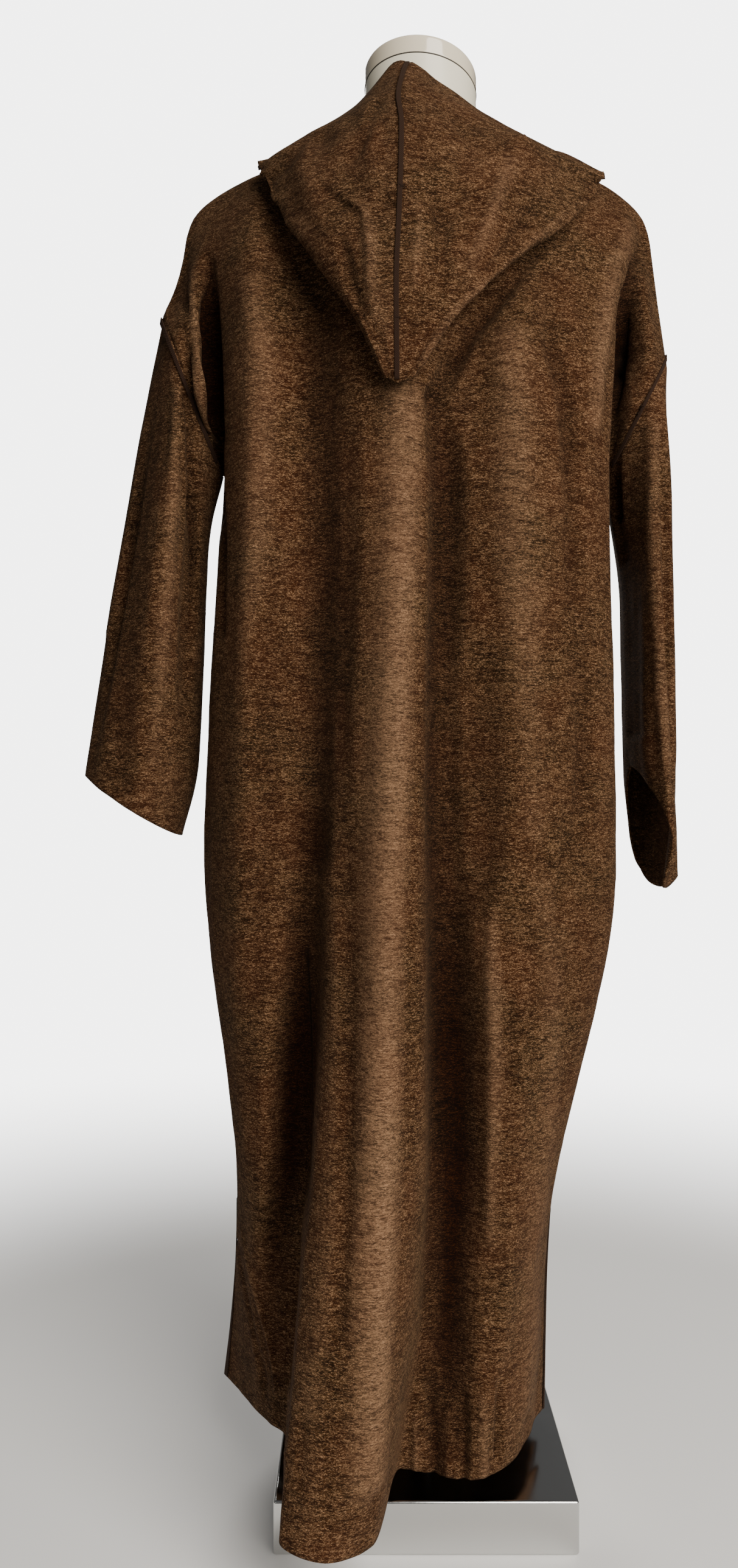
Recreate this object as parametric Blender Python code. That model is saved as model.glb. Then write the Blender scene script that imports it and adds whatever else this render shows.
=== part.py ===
"""A hooded djellaba robe of brushed wool on a limbless dress form.

Metres, +Z up, floor at Z = 0, origin under the form's pole. The robe's front faces -Y
and its left side is +X. Each panel is a wall of cloth bent over a few long fold lines,
which run from the shoulder line to the hem.
"""

import math

import bmesh
import bpy
import numpy as np

# Cloth and seams
WALL = 0.0024             # brushed wool, with its nap
HALF_GAP = 0.0002         # half of the gap left along a seam
BRAID_WALL = 0.0012       # flat cord braid
BRAID_LIFT = 0.0017       # outer face of a braid above the cloth
STEP = 0.0005             # step used to find the slope of a surface

# Heights of the robe's key levels
UNDERARM_Z = 1.130
WAIST_Z = 0.690
SHIN_Z = 0.300
HEM_Z = 0.085
ARM_SHARE = 0.27          # share of a panel's rows above the underarm
SHOULDER_START = 1e-6     # share of the rows left open at the shoulder line
CAP_REACH = 0.022         # share of the cut that rounds over beside the armhole

# Neckline: a ring with a short slit at the front
NECKLINE_R = 0.082
NECK_SIDE_Z = 1.500
NAPE_DROP = 0.005
FRONT_DROP = 0.045
NECK_SLIT_HALF = 0.006    # half width, as a share of the front panel's cut
NECK_SLIT_ROWS = 5        # rows of the front panel that the slit runs down
NECK_BRAID = 0.013        # width of its braid, as a share of the cut

# Dress form and stand
NECK_R = 0.0625
CAP_HEIGHT = 0.020
CAP_SEAM_Z = 1.558
NECK_FOOT_Z = 1.515       # where the neck begins to lean towards its slanted top
CAP_TILT_Y = 0.21         # rise towards the back
CAP_TILT_X = 0.08         # rise towards the left
TORSO_BOTTOM_Z = 0.800
POLE_R = 0.0125
BASE_SIDE = 0.310
BASE_HEIGHT = 0.055
TOUCH_GAP = 0.0003

# Colours, linear
WOOL = (0.088, 0.048, 0.025)
BRAID = (0.030, 0.018, 0.016)
FORM_CREAM = (0.80, 0.76, 0.64)
CAP_GLOSS = (0.72, 0.66, 0.56)
STEEL = (0.55, 0.56, 0.57)

# The shoulder line from the neck to the top of the armhole: distance from the middle,
# and height
SHOULDER = {
    "left": ((0.080, 1.500), (0.140, 1.480), (0.200, 1.457), (0.238, 1.436), (0.256, 1.418),
             (0.264, 1.397), (0.268, 1.372), (0.275, 1.345), (0.290, 1.307)),
    "right": ((0.080, 1.500), (0.140, 1.480), (0.200, 1.457), (0.230, 1.438), (0.250, 1.418),
              (0.258, 1.397), (0.263, 1.360), (0.269, 1.310), (0.275, 1.265)),
}

LINE_COLUMNS = ("cut", "x_top", "x_arm", "x_waist", "x_shin", "x_hem",
                "y_arm", "y_waist", "y_shin", "y_hem", "z_hem", "high", "low")

# Long lines of the back, from the left seam to the right seam. cut is the place across
# the cloth. high and low are how far the line stands out a third and two thirds of the
# way down the armhole, and on a seam row high is half the armhole's depth.
BACK_LINES = (
    (0.000, 0.290, 0.222, 0.243, 0.206, 0.213, 0.000, 0.000, -0.010, -0.030, 0.100, 0.060, 0.060),
    (0.022, 0.276, 0.222, 0.242, 0.206, 0.209, 0.012, 0.014, 0.005, -0.014, 0.100, 0.045, 0.068),
    (0.056, 0.252, 0.220, 0.237, 0.204, 0.203, 0.034, 0.034, 0.026, 0.008, 0.100, 0.030, -0.004),
    (0.095, 0.226, 0.213, 0.226, 0.197, 0.191, 0.068, 0.064, 0.052, 0.038, 0.100, 0.016, 0.014),
    (0.185, 0.178, 0.177, 0.182, 0.166, 0.163, 0.112, 0.113, 0.095, 0.088, 0.100, 0.014, 0.014),
    (0.240, 0.150, 0.138, 0.136, 0.130, 0.145, 0.107, 0.102, 0.098, 0.112, 0.098, 0.012, 0.006),
    (0.390, 0.072, 0.087, 0.090, 0.123, 0.141, 0.130, 0.142, 0.212, 0.272, 0.082, 0.014, 0.010),
    (0.465, 0.030, 0.034, 0.030, 0.072, 0.100, 0.143, 0.170, 0.245, 0.292, 0.074, 0.014, 0.014),
    (0.525, -0.002, 0.004, -0.002, 0.030, 0.056, 0.134, 0.152, 0.225, 0.262, 0.072, 0.014, 0.010),
    (0.615, -0.056, -0.024, -0.028, -0.012, 0.026, 0.118, 0.120, 0.140, 0.143, 0.082, 0.012, 0.004),
    (0.730, -0.115, -0.094, -0.088, -0.082, -0.042, 0.132, 0.140, 0.144, 0.162, 0.080, 0.014, 0.014),
    (0.800, -0.150, -0.140, -0.136, -0.108, -0.076, 0.118, 0.120, 0.116, 0.147, 0.083, 0.014, 0.010),
    (0.905, -0.234, -0.202, -0.206, -0.135, -0.112, 0.066, 0.064, 0.060, 0.085, 0.088, 0.018, 0.012),
    (0.945, -0.250, -0.206, -0.214, -0.142, -0.124, 0.034, 0.034, 0.032, 0.048, 0.090, 0.026, -0.006),
    (0.978, -0.262, -0.208, -0.219, -0.144, -0.132, 0.014, 0.014, 0.014, 0.026, 0.090, 0.038, 0.026),
    (1.000, -0.275, -0.208, -0.221, -0.145, -0.136, 0.000, 0.000, 0.000, 0.010, 0.090, 0.055, 0.055),
)

# Long lines of the plain front, from the left seam to the right seam
FRONT_LINES = (
    (0.000, 0.290, 0.222, 0.243, 0.206, 0.213, 0.000, 0.000, -0.010, -0.030, 0.100, 0.060, 0.060),
    (0.045, 0.260, 0.220, 0.237, 0.203, 0.205, -0.028, -0.030, -0.032, -0.055, 0.100, 0.034, 0.016),
    (0.100, 0.224, 0.207, 0.224, 0.192, 0.190, -0.062, -0.062, -0.064, -0.090, 0.098, 0.016, 0.010),
    (0.240, 0.140, 0.140, 0.145, 0.128, 0.138, -0.112, -0.122, -0.132, -0.158, 0.092, 0.014, 0.010),
    (0.370, 0.078, 0.070, 0.076, 0.074, 0.078, -0.108, -0.108, -0.102, -0.112, 0.094, 0.012, 0.004),
    (0.500, 0.000, 0.004, 0.008, 0.012, 0.018, -0.120, -0.130, -0.146, -0.170, 0.088, 0.012, 0.010),
    (0.630, -0.078, -0.066, -0.062, -0.046, -0.038, -0.110, -0.110, -0.108, -0.118, 0.094, 0.012, 0.004),
    (0.760, -0.140, -0.130, -0.136, -0.098, -0.088, -0.114, -0.122, -0.132, -0.150, 0.092, 0.014, 0.010),
    (0.900, -0.220, -0.196, -0.204, -0.136, -0.130, -0.062, -0.062, -0.060, -0.078, 0.096, 0.016, 0.010),
    (0.955, -0.250, -0.207, -0.215, -0.142, -0.136, -0.028, -0.030, -0.030, -0.042, 0.096, 0.032, 0.014),
    (1.000, -0.275, -0.208, -0.221, -0.145, -0.136, 0.000, 0.000, 0.000, 0.010, 0.090, 0.055, 0.055),
)

# How far each panel's edge swings away from the seam line at the foot of a side slit
SLIT_COLUMNS = ("panel", "side", "x", "y")
SLIT_SWING = (
    ("back", "left", 0.012, -0.002),
    ("back", "right", 0.001, 0.020),
    ("front", "left", -0.014, -0.018),
    ("front", "right", -0.006, -0.045),
)
SLIT_BRAID = (0.004, 0.014)   # where the slits' braid lies, from a panel's edge
SLIT_REACH = 0.10         # share of the cut over which the swing dies out

SLEEVE_COLUMNS = ("out_x", "out_z", "in_x", "in_z", "back", "front", "mid_y", "tilt")

# Rings of each sleeve from the armhole to the cuff: the outer and inner point, how deep
# the ring is behind and before its middle, and how much its front side hangs lower.
SLEEVE_LEFT = (
    (0.2900, 1.307, 0.2220, 1.130, 0.060, 0.060, 0.000, 0.00),
    (0.3050, 1.225, 0.2380, 1.066, 0.064, 0.066, 0.000, 0.00),
    (0.3250, 1.118, 0.2440, 0.990, 0.070, 0.078, -0.002, 0.00),
    (0.3470, 0.990, 0.2480, 0.900, 0.072, 0.082, -0.004, 0.00),
    (0.3660, 0.875, 0.2520, 0.805, 0.070, 0.084, -0.006, 0.00),
    (0.3790, 0.791, 0.2710, 0.722, 0.072, 0.082, -0.008, 0.00),
)
SLEEVE_RIGHT = (
    (-0.2750, 1.265, -0.2080, 1.130, 0.055, 0.055, 0.000, 0.00),
    (-0.2760, 1.195, -0.2180, 1.070, 0.070, 0.074, -0.002, 0.06),
    (-0.2770, 1.080, -0.2290, 0.990, 0.088, 0.090, -0.006, 0.16),
    (-0.2800, 0.930, -0.2330, 0.905, 0.094, 0.094, -0.010, 0.32),
    (-0.2860, 0.790, -0.2350, 0.848, 0.088, 0.092, -0.014, 0.48),
    (-0.2940, 0.676, -0.2390, 0.800, 0.080, 0.088, -0.018, 0.60),
)

# Long soft folds of the sleeves: turns from the outer edge, half width, how far each
# stands out, and the shares of the length where it starts and ends
SLEEVE_FOLDS = {
    "left": ((0.10, 0.045, -0.008, 0.10, 1.10), (0.27, 0.060, 0.007, -0.10, 0.80),
             (0.38, 0.045, -0.009, 0.05, 0.75), (0.66, 0.060, 0.009, 0.20, 1.20),
             (0.82, 0.050, -0.008, 0.00, 0.90)),
    "right": ((0.16, 0.050, 0.006, -0.10, 0.90), (0.22, 0.045, -0.009, 0.10, 1.10),
              (0.36, 0.055, 0.007, 0.20, 1.20), (0.62, 0.055, -0.009, 0.05, 0.95),
              (0.78, 0.060, 0.008, 0.20, 1.20)),
}

# The curled corner of the right cuff: turns from the outer edge, half width, how far it
# goes in and down, and the share of the length where it starts
CUFF_CORNER = {"left": None, "right": (0.11, 0.10, 0.018, -0.024, 0.76)}

# Soft dents and ridges of the hood: half, place across, place up, half widths, depth
HOOD_FOLDS = (
    ("left", 0.10, 0.72, 0.055, 0.40, 0.006), ("left", 0.24, 0.74, 0.06, 0.14, -0.010),
    ("left", 0.33, 0.60, 0.06, 0.30, 0.006), ("right", 0.14, 0.55, 0.05, 0.35, -0.006),
    ("right", 0.26, 0.78, 0.05, 0.22, 0.008), ("right", 0.36, 0.72, 0.05, 0.25, -0.007),
)

HOOD_COLUMNS = ("at", "seam_y", "seam_z", "left_x", "left_y", "left_z",
                "right_x", "right_y", "right_z", "mid_y", "rise", "end_y", "end_z", "sag")

# Rows of the hood from its point up to the brim. Each runs from the crown seam out to
# the folded edge of a side, and back in to the nape or round to the neckline.
HOOD_ROWS = (
    (0.00, 0.172, 1.180, 0.042, 0.168, 1.186, 0.014, 0.168, 1.186, 0.164, 0.000, 0.160, 1.192, 0.0),
    (0.16, 0.190, 1.240, 0.070, 0.172, 1.240, -0.022, 0.172, 1.240, 0.162, 0.000, 0.159, 1.245, 0.0),
    (0.32, 0.198, 1.302, 0.108, 0.158, 1.300, -0.078, 0.158, 1.300, 0.158, 0.000, 0.158, 1.305, 0.0),
    (0.50, 0.192, 1.372, 0.146, 0.124, 1.362, -0.150, 0.124, 1.362, 0.146, -0.006, 0.150, 1.376, 0.0),
    (0.58, 0.182, 1.408, 0.158, 0.107, 1.388, -0.168, 0.107, 1.383, 0.132, -0.022, 0.136, 1.440, 0.0),
    (0.63, 0.175, 1.429, 0.165, 0.096, 1.404, -0.179, 0.096, 1.396, 0.119, -0.032, 0.102, 1.488, 0.0),
    (0.66, 0.170, 1.442, 0.169, 0.090, 1.414, -0.184, 0.090, 1.404, 0.112, -0.040, 0.084, 1.496, 0.0),
    (0.83, 0.130, 1.502, 0.176, 0.074, 1.438, -0.193, 0.074, 1.426, 0.050, -0.002, 0.000, 1.500, -0.006),
    (1.00, 0.078, 1.553, 0.179, 0.058, 1.447, -0.197, 0.058, 1.436, -0.030, 0.010, -0.082, 1.456, -0.010),
)
HOOD_SEAM_X = 0.028
SEAM_BRAID_WIDE = 0.007
SEAM_BRAID_LIFT = 0.0025
HOOD_CLEAR = 0.008        # least height of the hood's underside above the panels
BACK_DEPTH = 0.164        # how far each panel reaches from the shoulder line at the underarm
FRONT_DEPTH = 0.140
HOOD_NAPE_AT = 0.66       # row that ends at the nape
NECK_GAP = 0.0023         # between the hood's edge and the neckline under it
HOOD_FRONT_TURN = 172.0   # degrees round the neckline from the nape to the front edge
HOOD_ROLL = 0.012         # half thickness of the rolled lower edge
HOOD_SWELL = 0.004        # how far each half stands out between the seam and its fold
HOOD_ROW_STOPS = (0, .08, .16, .24, .32, .41, .5, .58, .61, .635, .66, .7, .74, .78, .82, .86,
                  .9, .935, .97, 1)
HOOD_COLUMN_STOPS = (0, .08, .16, .25, .34, .41, .46, .5, .54, .59, .67, .75, .82, .88, .93, .97, 1)

# Rings of the dress form's body: height, half width, depth behind and before
TORSO_COLUMNS = ("z", "wide", "back", "front")
TORSO_RINGS = (
    (0.800, 0.160, 0.078, 0.072),
    (0.812, 0.170, 0.086, 0.080),
    (0.860, 0.172, 0.088, 0.082),
    (0.950, 0.158, 0.078, 0.078),
    (1.040, 0.150, 0.074, 0.078),
    (1.140, 0.166, 0.084, 0.086),
    (1.240, 0.188, 0.092, 0.090),
    (1.320, 0.206, 0.090, 0.082),
    (1.365, 0.214, 0.084, 0.076),
    (1.400, 0.216, 0.074, 0.066),
    (1.428, 0.210, 0.064, 0.058),
    (1.443, 0.2035, 0.058, 0.052),
    (1.4540, 0.194, 0.046, 0.042),
    (1.4664, 0.165, 0.040, 0.036),
    (1.4775, 0.135, 0.032, 0.030),
    (1.4868, 0.106, 0.026, 0.022),
    (1.4938, 0.084, 0.030, 0.026),
    (1.504, 0.060, 0.050, 0.050),
    (1.520, 0.040, 0.040, 0.040),
    (1.558, 0.030, 0.030, 0.030),
)
NECK_BLEND = 8            # how sharply the neck grows out of the shoulders
TORSO_SIDES = 24

X_AXIS = np.array((1.0, 0.0, 0.0))
Y_AXIS = np.array((0.0, 1.0, 0.0))


def table(columns, rows):
    """Rows of numbers as one array for each named column."""
    return {name: np.array(values, float) for name, values in zip(columns, zip(*rows))}


def smooth(at, knots, values):
    """A smooth curve through values at rising knots, which never overshoots them."""
    at = np.asarray(at, float)
    knots = np.asarray(knots, float)
    values = np.asarray(values, float)
    if values.ndim == 1:
        values = values.reshape((-1,) + (1,) * at.ndim)
    values = np.broadcast_to(values, (len(knots),) + at.shape)
    width = np.diff(knots).reshape((-1,) + (1,) * at.ndim)
    slope = np.diff(values, axis=0) / width
    before, after = slope[:-1], slope[1:]
    total = np.where(before + after == 0.0, 1.0, before + after)
    inner = np.where(before * after > 0.0, 2.0 * before * after / total, 0.0)
    lean = np.concatenate((slope[:1], inner, slope[-1:]))
    inside = np.clip(at, knots[0], knots[-1])
    span = np.clip(np.searchsorted(knots, inside, side="right") - 1, 0, len(knots) - 2)
    reach = knots[span + 1] - knots[span]
    t = (inside - knots[span]) / reach

    def pick(array, index):
        return np.take_along_axis(array, index[None], 0)[0]

    low, high = pick(values, span), pick(values, span + 1)
    start, end = pick(lean, span) * reach, pick(lean, span + 1) * reach
    rest = 1.0 - t
    return ((1 + 2 * t) * rest ** 2 * low + t ** 2 * (3 - 2 * t) * high
            + t * rest ** 2 * start - t ** 2 * rest * end)


def points(x, y, z):
    """One array of points from three arrays of coordinates."""
    return np.stack(np.broadcast_arrays(x, y, z), axis=-1).astype(float)


def unit(vectors):
    """Vectors at length one."""
    length = np.linalg.norm(vectors, axis=-1, keepdims=True)
    return vectors / np.maximum(length, 1e-12)


def bump(distance):
    """A soft rise from 0 at one unit away to 1 in the middle."""
    return 0.5 + 0.5 * np.cos(math.pi * np.clip(distance, -1.0, 1.0))


def neckline_height(y):
    """Height of the neckline ring, which dips at the nape and more at the throat."""
    across = np.clip(y / NECKLINE_R, -1.0, 1.0)
    return NECK_SIDE_Z - np.where(across > 0, NAPE_DROP, FRONT_DROP) * across ** 2


def panel_surface(lines, panel):
    """The outer face of the back or the front: cut place across, and place down."""
    side = 1.0 if panel == "back" else -1.0
    swings = [row for row in SLIT_SWING if row[0] == panel]

    def surface(cut, down):
        row = {name: smooth(cut, lines["cut"], lines[name]) for name in LINE_COLUMNS[1:]}
        out = np.abs(row["x_top"])
        y_top = side * np.sqrt(np.maximum(NECKLINE_R ** 2 - out ** 2, 0.0))
        slopes = [smooth(out, *zip(*SHOULDER[half])) for half in ("left", "right")]
        z_top = np.where(row["x_top"] > 0.0, slopes[0], slopes[1])
        z_top = np.where(out < NECKLINE_R, neckline_height(y_top), z_top)
        # Above the underarm
        t = np.clip(down / ARM_SHARE, 0.0, 1.0)
        from_seam = np.minimum(cut, 1.0 - cut)
        edge = np.clip(1.0 - from_seam / CAP_REACH, 0.0, 1.0)
        hang = 1.0 + np.clip(from_seam / CAP_REACH - 1.0, 0.0, 1.0)
        fall = np.sqrt(np.sin(0.5 * math.pi * t))
        round_edge = row["high"] * np.sqrt(np.maximum(np.sin(math.pi * t), 0.0))
        inner = row["high"] * bump((t - 0.30) / 0.30) + row["low"] * bump((t - 0.65) / 0.35)
        swell = edge * round_edge + (1.0 - edge) * inner
        x_high = row["x_arm"] + (row["x_top"] - row["x_arm"]) * (1.0 - t) ** hang
        y_high = y_top + (row["y_arm"] - y_top) * fall + side * swell
        z_high = z_top + (UNDERARM_Z - z_top) * t
        # Below the underarm
        h = np.clip((down - ARM_SHARE) / (1.0 - ARM_SHARE), 0.0, 1.0)
        levels = [(UNDERARM_Z - z) / (UNDERARM_Z - HEM_Z) for z in (UNDERARM_Z, WAIST_Z, SHIN_Z, HEM_Z)]
        x_low = smooth(h, levels, [row[k] for k in ("x_arm", "x_waist", "x_shin", "x_hem")])
        y_low = smooth(h, levels, [row[k] for k in ("y_arm", "y_waist", "y_shin", "y_hem")])
        z_low = UNDERARM_Z + (row["z_hem"] - UNDERARM_Z) * h
        free = np.clip((h - levels[2]) / (1.0 - levels[2]), 0.0, 1.0) ** 2
        for _, where, swing_x, swing_y in swings:
            from_edge = cut if where == "left" else 1.0 - cut
            share = free * np.clip(1.0 - from_edge / SLIT_REACH, 0.0, 1.0) ** 2
            x_low = x_low + swing_x * share
            y_low = y_low + swing_y * share
        high = down < ARM_SHARE
        return points(np.where(high, x_high, x_low), np.where(high, y_high, y_low),
                      np.where(high, z_high, z_low))

    return surface


def sleeve_surface(rings, folds, corner):
    """The outer face of a sleeve: turns round from its outer edge, and place down."""
    stations = np.linspace(0.0, 1.0, len(rings["out_x"]))

    def surface(turn, down):
        ring = {name: smooth(down, stations, rings[name]) for name in SLEEVE_COLUMNS}
        angle = 2.0 * math.pi * turn
        t = 0.5 - 0.5 * np.cos(angle)
        behind = np.sin(angle) >= 0.0
        deep = np.where(behind, ring["back"], -ring["front"]) * np.sqrt(np.maximum(np.sin(math.pi * t), 0.0))
        x = ring["out_x"] + (ring["in_x"] - ring["out_x"]) * t
        z = ring["out_z"] + (ring["in_z"] - ring["out_z"]) * t + ring["tilt"] * np.minimum(deep, 0.0)
        away = np.sign(rings["out_x"][0])
        if corner:
            at, half, inward, downward, start = corner
            share = bump((turn - at) / half) * np.clip((down - start) / (1.0 - start), 0.0, 1.0) ** 1.5
            x = x - away * inward * share
            z = z + downward * share
        for at, half, rise, start, end in folds:
            length = bump(2.0 * (down - start) / (end - start) - 1.0) * np.minimum(down / 0.08, 1.0)
            share = rise * length * bump((np.mod(turn - at + 0.5, 1.0) - 0.5) / half)
            x = x + share * away * np.cos(angle)
            deep = deep + share * np.sin(angle)
        return points(x, ring["mid_y"] + deep, z)

    return surface


def resting_height(x, y):
    """Height of the panels' outer face under a place near the shoulders."""
    out = np.abs(x)
    ring_y = np.sqrt(np.maximum(NECKLINE_R ** 2 - out ** 2, 0.0))
    slopes = [smooth(out, *zip(*SHOULDER[half])) for half in ("left", "right")]
    top = np.where(x > 0.0, slopes[0], slopes[1])
    top = np.where(out < NECKLINE_R, neckline_height(np.sign(y) * ring_y), top)
    deep = np.where(y > 0.0, BACK_DEPTH, FRONT_DEPTH) - ring_y
    share = np.clip((np.abs(y) - ring_y) / deep, 0.0, 1.0)
    return top - (top - UNDERARM_Z) * 2.0 / math.pi * np.arcsin(share ** 2)


def hood_surface(rows, side):
    """The outer face of one half of the hood: place across a row, and place up."""
    places = (0.0, 0.22, 0.43, 0.5, 0.57, 0.78, 1.0)

    def surface(across, up):
        row = {name: smooth(up, rows["at"], rows[name]) for name in HOOD_COLUMNS[1:]}
        fold_x, fold_y, fold_z = row[side + "_x"], row[side + "_y"], row[side + "_z"]
        sign = 1.0 if side == "left" else -1.0
        turn = np.radians(HOOD_FRONT_TURN) * np.clip((up - HOOD_NAPE_AT) / (1.0 - HOOD_NAPE_AT), 0.0, 1.0)
        ring_y = NECKLINE_R * np.cos(turn)
        past = up >= HOOD_NAPE_AT
        below = np.clip((HOOD_NAPE_AT - up) / 0.16, 0.0, 1.0)
        end_x = np.where(past, sign * NECKLINE_R * np.sin(turn), HOOD_SEAM_X * below)
        end_y = np.where(past, ring_y, row["end_y"])
        end_z = np.where(past, neckline_height(ring_y) + NECK_GAP, row["end_z"])
        roll = HOOD_ROLL * np.clip(up / 0.1 + 0.3, 0.0, 1.0) * np.clip((1.12 - up) / 0.3, 0.2, 1.0)
        reach = fold_x - HOOD_SEAM_X
        x = (HOOD_SEAM_X, HOOD_SEAM_X + 0.50 * reach, HOOD_SEAM_X + 0.93 * reach, fold_x,
             HOOD_SEAM_X + 0.93 * reach, 0.5 * (fold_x + end_x), end_x)
        swell = HOOD_SWELL * np.clip(np.abs(reach) / 0.08, 0.0, 1.0) ** 2
        y = (row["seam_y"], 0.62 * row["seam_y"] + 0.38 * (fold_y + roll) + swell,
             fold_y + roll, fold_y, fold_y - 0.7 * roll, row["mid_y"], end_y)
        z = (row["seam_z"], 0.5 * (row["seam_z"] + fold_z) + row["sag"],
             fold_z + 0.07 * (row["seam_z"] - fold_z), fold_z,
             fold_z + 0.07 * (end_z - fold_z), 0.5 * (fold_z + end_z) + row["rise"], end_z)
        shape = across.shape
        x, y, z = (smooth(across, places, [np.broadcast_to(v, shape) for v in c]) for c in (x, y, z))
        above = resting_height(x, y) + HOOD_CLEAR
        lifted = 0.5 * (z + above + np.sqrt((z - above) ** 2 + HOOD_CLEAR ** 2))
        free = bump((across - 0.5) / 0.06) * (across < 0.5) + (across >= 0.5)
        free = free * (1.0 - bump((across - 1.0) / 0.06))
        z = z + (lifted - z) * free * np.clip((up - 0.46) / 0.12, 0.0, 1.0)
        for half, at, height, wide, high, rise in HOOD_FOLDS:
            if half == side:
                y = y + rise * bump((across - at) / wide) * bump((up - height) / high)
        return points(x, y, z)

    return surface


def outward(surface, across, down, turn):
    """Directions that point out of the cloth at each place."""
    wide = surface(across + STEP, down) - surface(across - STEP, down)
    long = surface(across, down + STEP) - surface(across, down - STEP)
    return turn * unit(np.cross(wide, long))


def square_edge(spots, normals, axis):
    """Normals of an edge turned to stay in the seam's own plane, which axis stands on. At
    a corner, where the axis changes, they stay in both planes."""
    along = np.gradient(spots, axis=0)
    corner = np.flatnonzero(np.any(np.abs(np.diff(axis, axis=0)) > 0.01, axis=1))
    along[corner] = axis[corner + 1]
    flat = unit(np.cross(along, axis))
    keep = np.sum(flat * normals, axis=1, keepdims=True)
    return flat * np.where(keep < 0.0, -1.0, 1.0)


def material(name, colour, roughness, metallic=0.0):
    """A plain material of one colour."""
    made = bpy.data.materials.new(name)
    made.use_nodes = True
    shader = made.node_tree.nodes["Principled BSDF"]
    shader.inputs["Base Color"].default_value = (*colour, 1.0)
    shader.inputs["Roughness"].default_value = roughness
    shader.inputs["Metallic"].default_value = metallic
    return made


def finish(name, mesh, finish_material):
    """A named object from a closed mesh, with its faces pointing out."""
    bmesh.ops.recalc_face_normals(mesh, faces=mesh.faces[:])
    data = bpy.data.meshes.new(name)
    mesh.to_mesh(data)
    mesh.free()
    data.shade_smooth()
    data.materials.append(finish_material)
    made = bpy.data.objects.new(name, data)
    bpy.context.scene.collection.objects.link(made)
    return made


def laid_grid(outer, wrap):
    """A grid of faces laid on an array of points, and the grid place of each vertex."""
    rows, columns = outer.shape[:2]
    mesh = bmesh.new()
    bmesh.ops.create_grid(mesh, x_segments=columns - 1, y_segments=rows - 1, size=0.5)
    column = mesh.verts.layers.int.new("column")
    row = mesh.verts.layers.int.new("row")
    for vert in mesh.verts:
        vert[column] = round((vert.co.x + 0.5) * (columns - 1))
        vert[row] = round((vert.co.y + 0.5) * (rows - 1))
        vert.co = outer[vert[row], vert[column]]
    if wrap:
        ends = [vert for vert in mesh.verts if vert[column] in (0, columns - 1)]
        bmesh.ops.remove_doubles(mesh, verts=ends, dist=1e-5)
    return mesh, row, column


def cloth(name, surface, across, down, turn, finish_material,
          wall=WALL, lift=0.0, wrap=False, edges=(), slit=None):
    """A wall of cloth on a surface. edges turn the rims square to their seams, and slit
    names the two columns and the last row of a slit cut from the top."""
    across, down = np.meshgrid(across, down)
    outer = surface(across, down)
    normals = outward(surface, across, down, turn)
    if wrap:
        normals[:, -1] = normals[:, 0]
    for edge, axis in edges:
        spot = {"first": np.s_[:, 0], "last": np.s_[:, -1], "top": np.s_[0, :], "end": np.s_[-1, :]}[edge]
        keep = np.linalg.norm(axis(outer[spot]), axis=1) > 0.5
        turned = square_edge(outer[spot], normals[spot], axis(outer[spot]))
        normals[spot] = np.where(keep[:, None], turned, normals[spot])
    outer = outer + normals * lift
    inner = outer - normals * wall
    mesh, row, column = laid_grid(outer, wrap)
    if slit:
        low, high, last = slit
        gone = [face for face in mesh.faces
                if all(low <= vert[column] <= high and vert[row] <= last for vert in face.verts)]
        bmesh.ops.delete(mesh, geom=gone, context="FACES")
    made = bmesh.ops.extrude_face_region(mesh, geom=mesh.faces[:])
    for item in made["geom"]:
        if isinstance(item, bmesh.types.BMVert):
            item.co = inner[item[row], item[column]]
    return finish(name, mesh, finish_material)


def solid(name, surface, sides, down, finish_material):
    """A closed solid of rings, with a flat face over each end."""
    across, down = np.meshgrid(np.linspace(0.0, 1.0, sides + 1), down)
    mesh, _, _ = laid_grid(surface(across, down), True)
    ends = [edge for edge in mesh.edges if edge.is_boundary]
    bmesh.ops.holes_fill(mesh, edges=ends, sides=0)
    return finish(name, mesh, finish_material)


def fixed(axis):
    """The same axis at every place of an edge."""
    return lambda spots: np.broadcast_to(axis, spots.shape)


def side_axis(plane):
    """Along a side edge: the armhole's plane above the underarm, and +Y below it."""
    return lambda spots: np.where(spots[:, 2:] > UNDERARM_Z - 0.001, plane, Y_AXIS)


def shoulder_axis(spots):
    """Along the shoulder line: +Y, and nothing along the neckline, which meets no panel."""
    return Y_AXIS * (np.abs(spots[:, :1]) > NECKLINE_R)


def nape_axis(spots):
    """Along the hood's inner edge: +X down the seam, and nothing along the neckline."""
    return X_AXIS * ((np.abs(spots[:, :1]) < 0.03) & (spots[:, 1:2] > 0.05))


def armhole_plane(rings):
    """The direction that stands on a sleeve's armhole plane."""
    wide = rings["in_x"][0] - rings["out_x"][0]
    long = rings["in_z"][0] - rings["out_z"][0]
    return unit(np.array((-long, 0.0, wide)))


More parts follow.
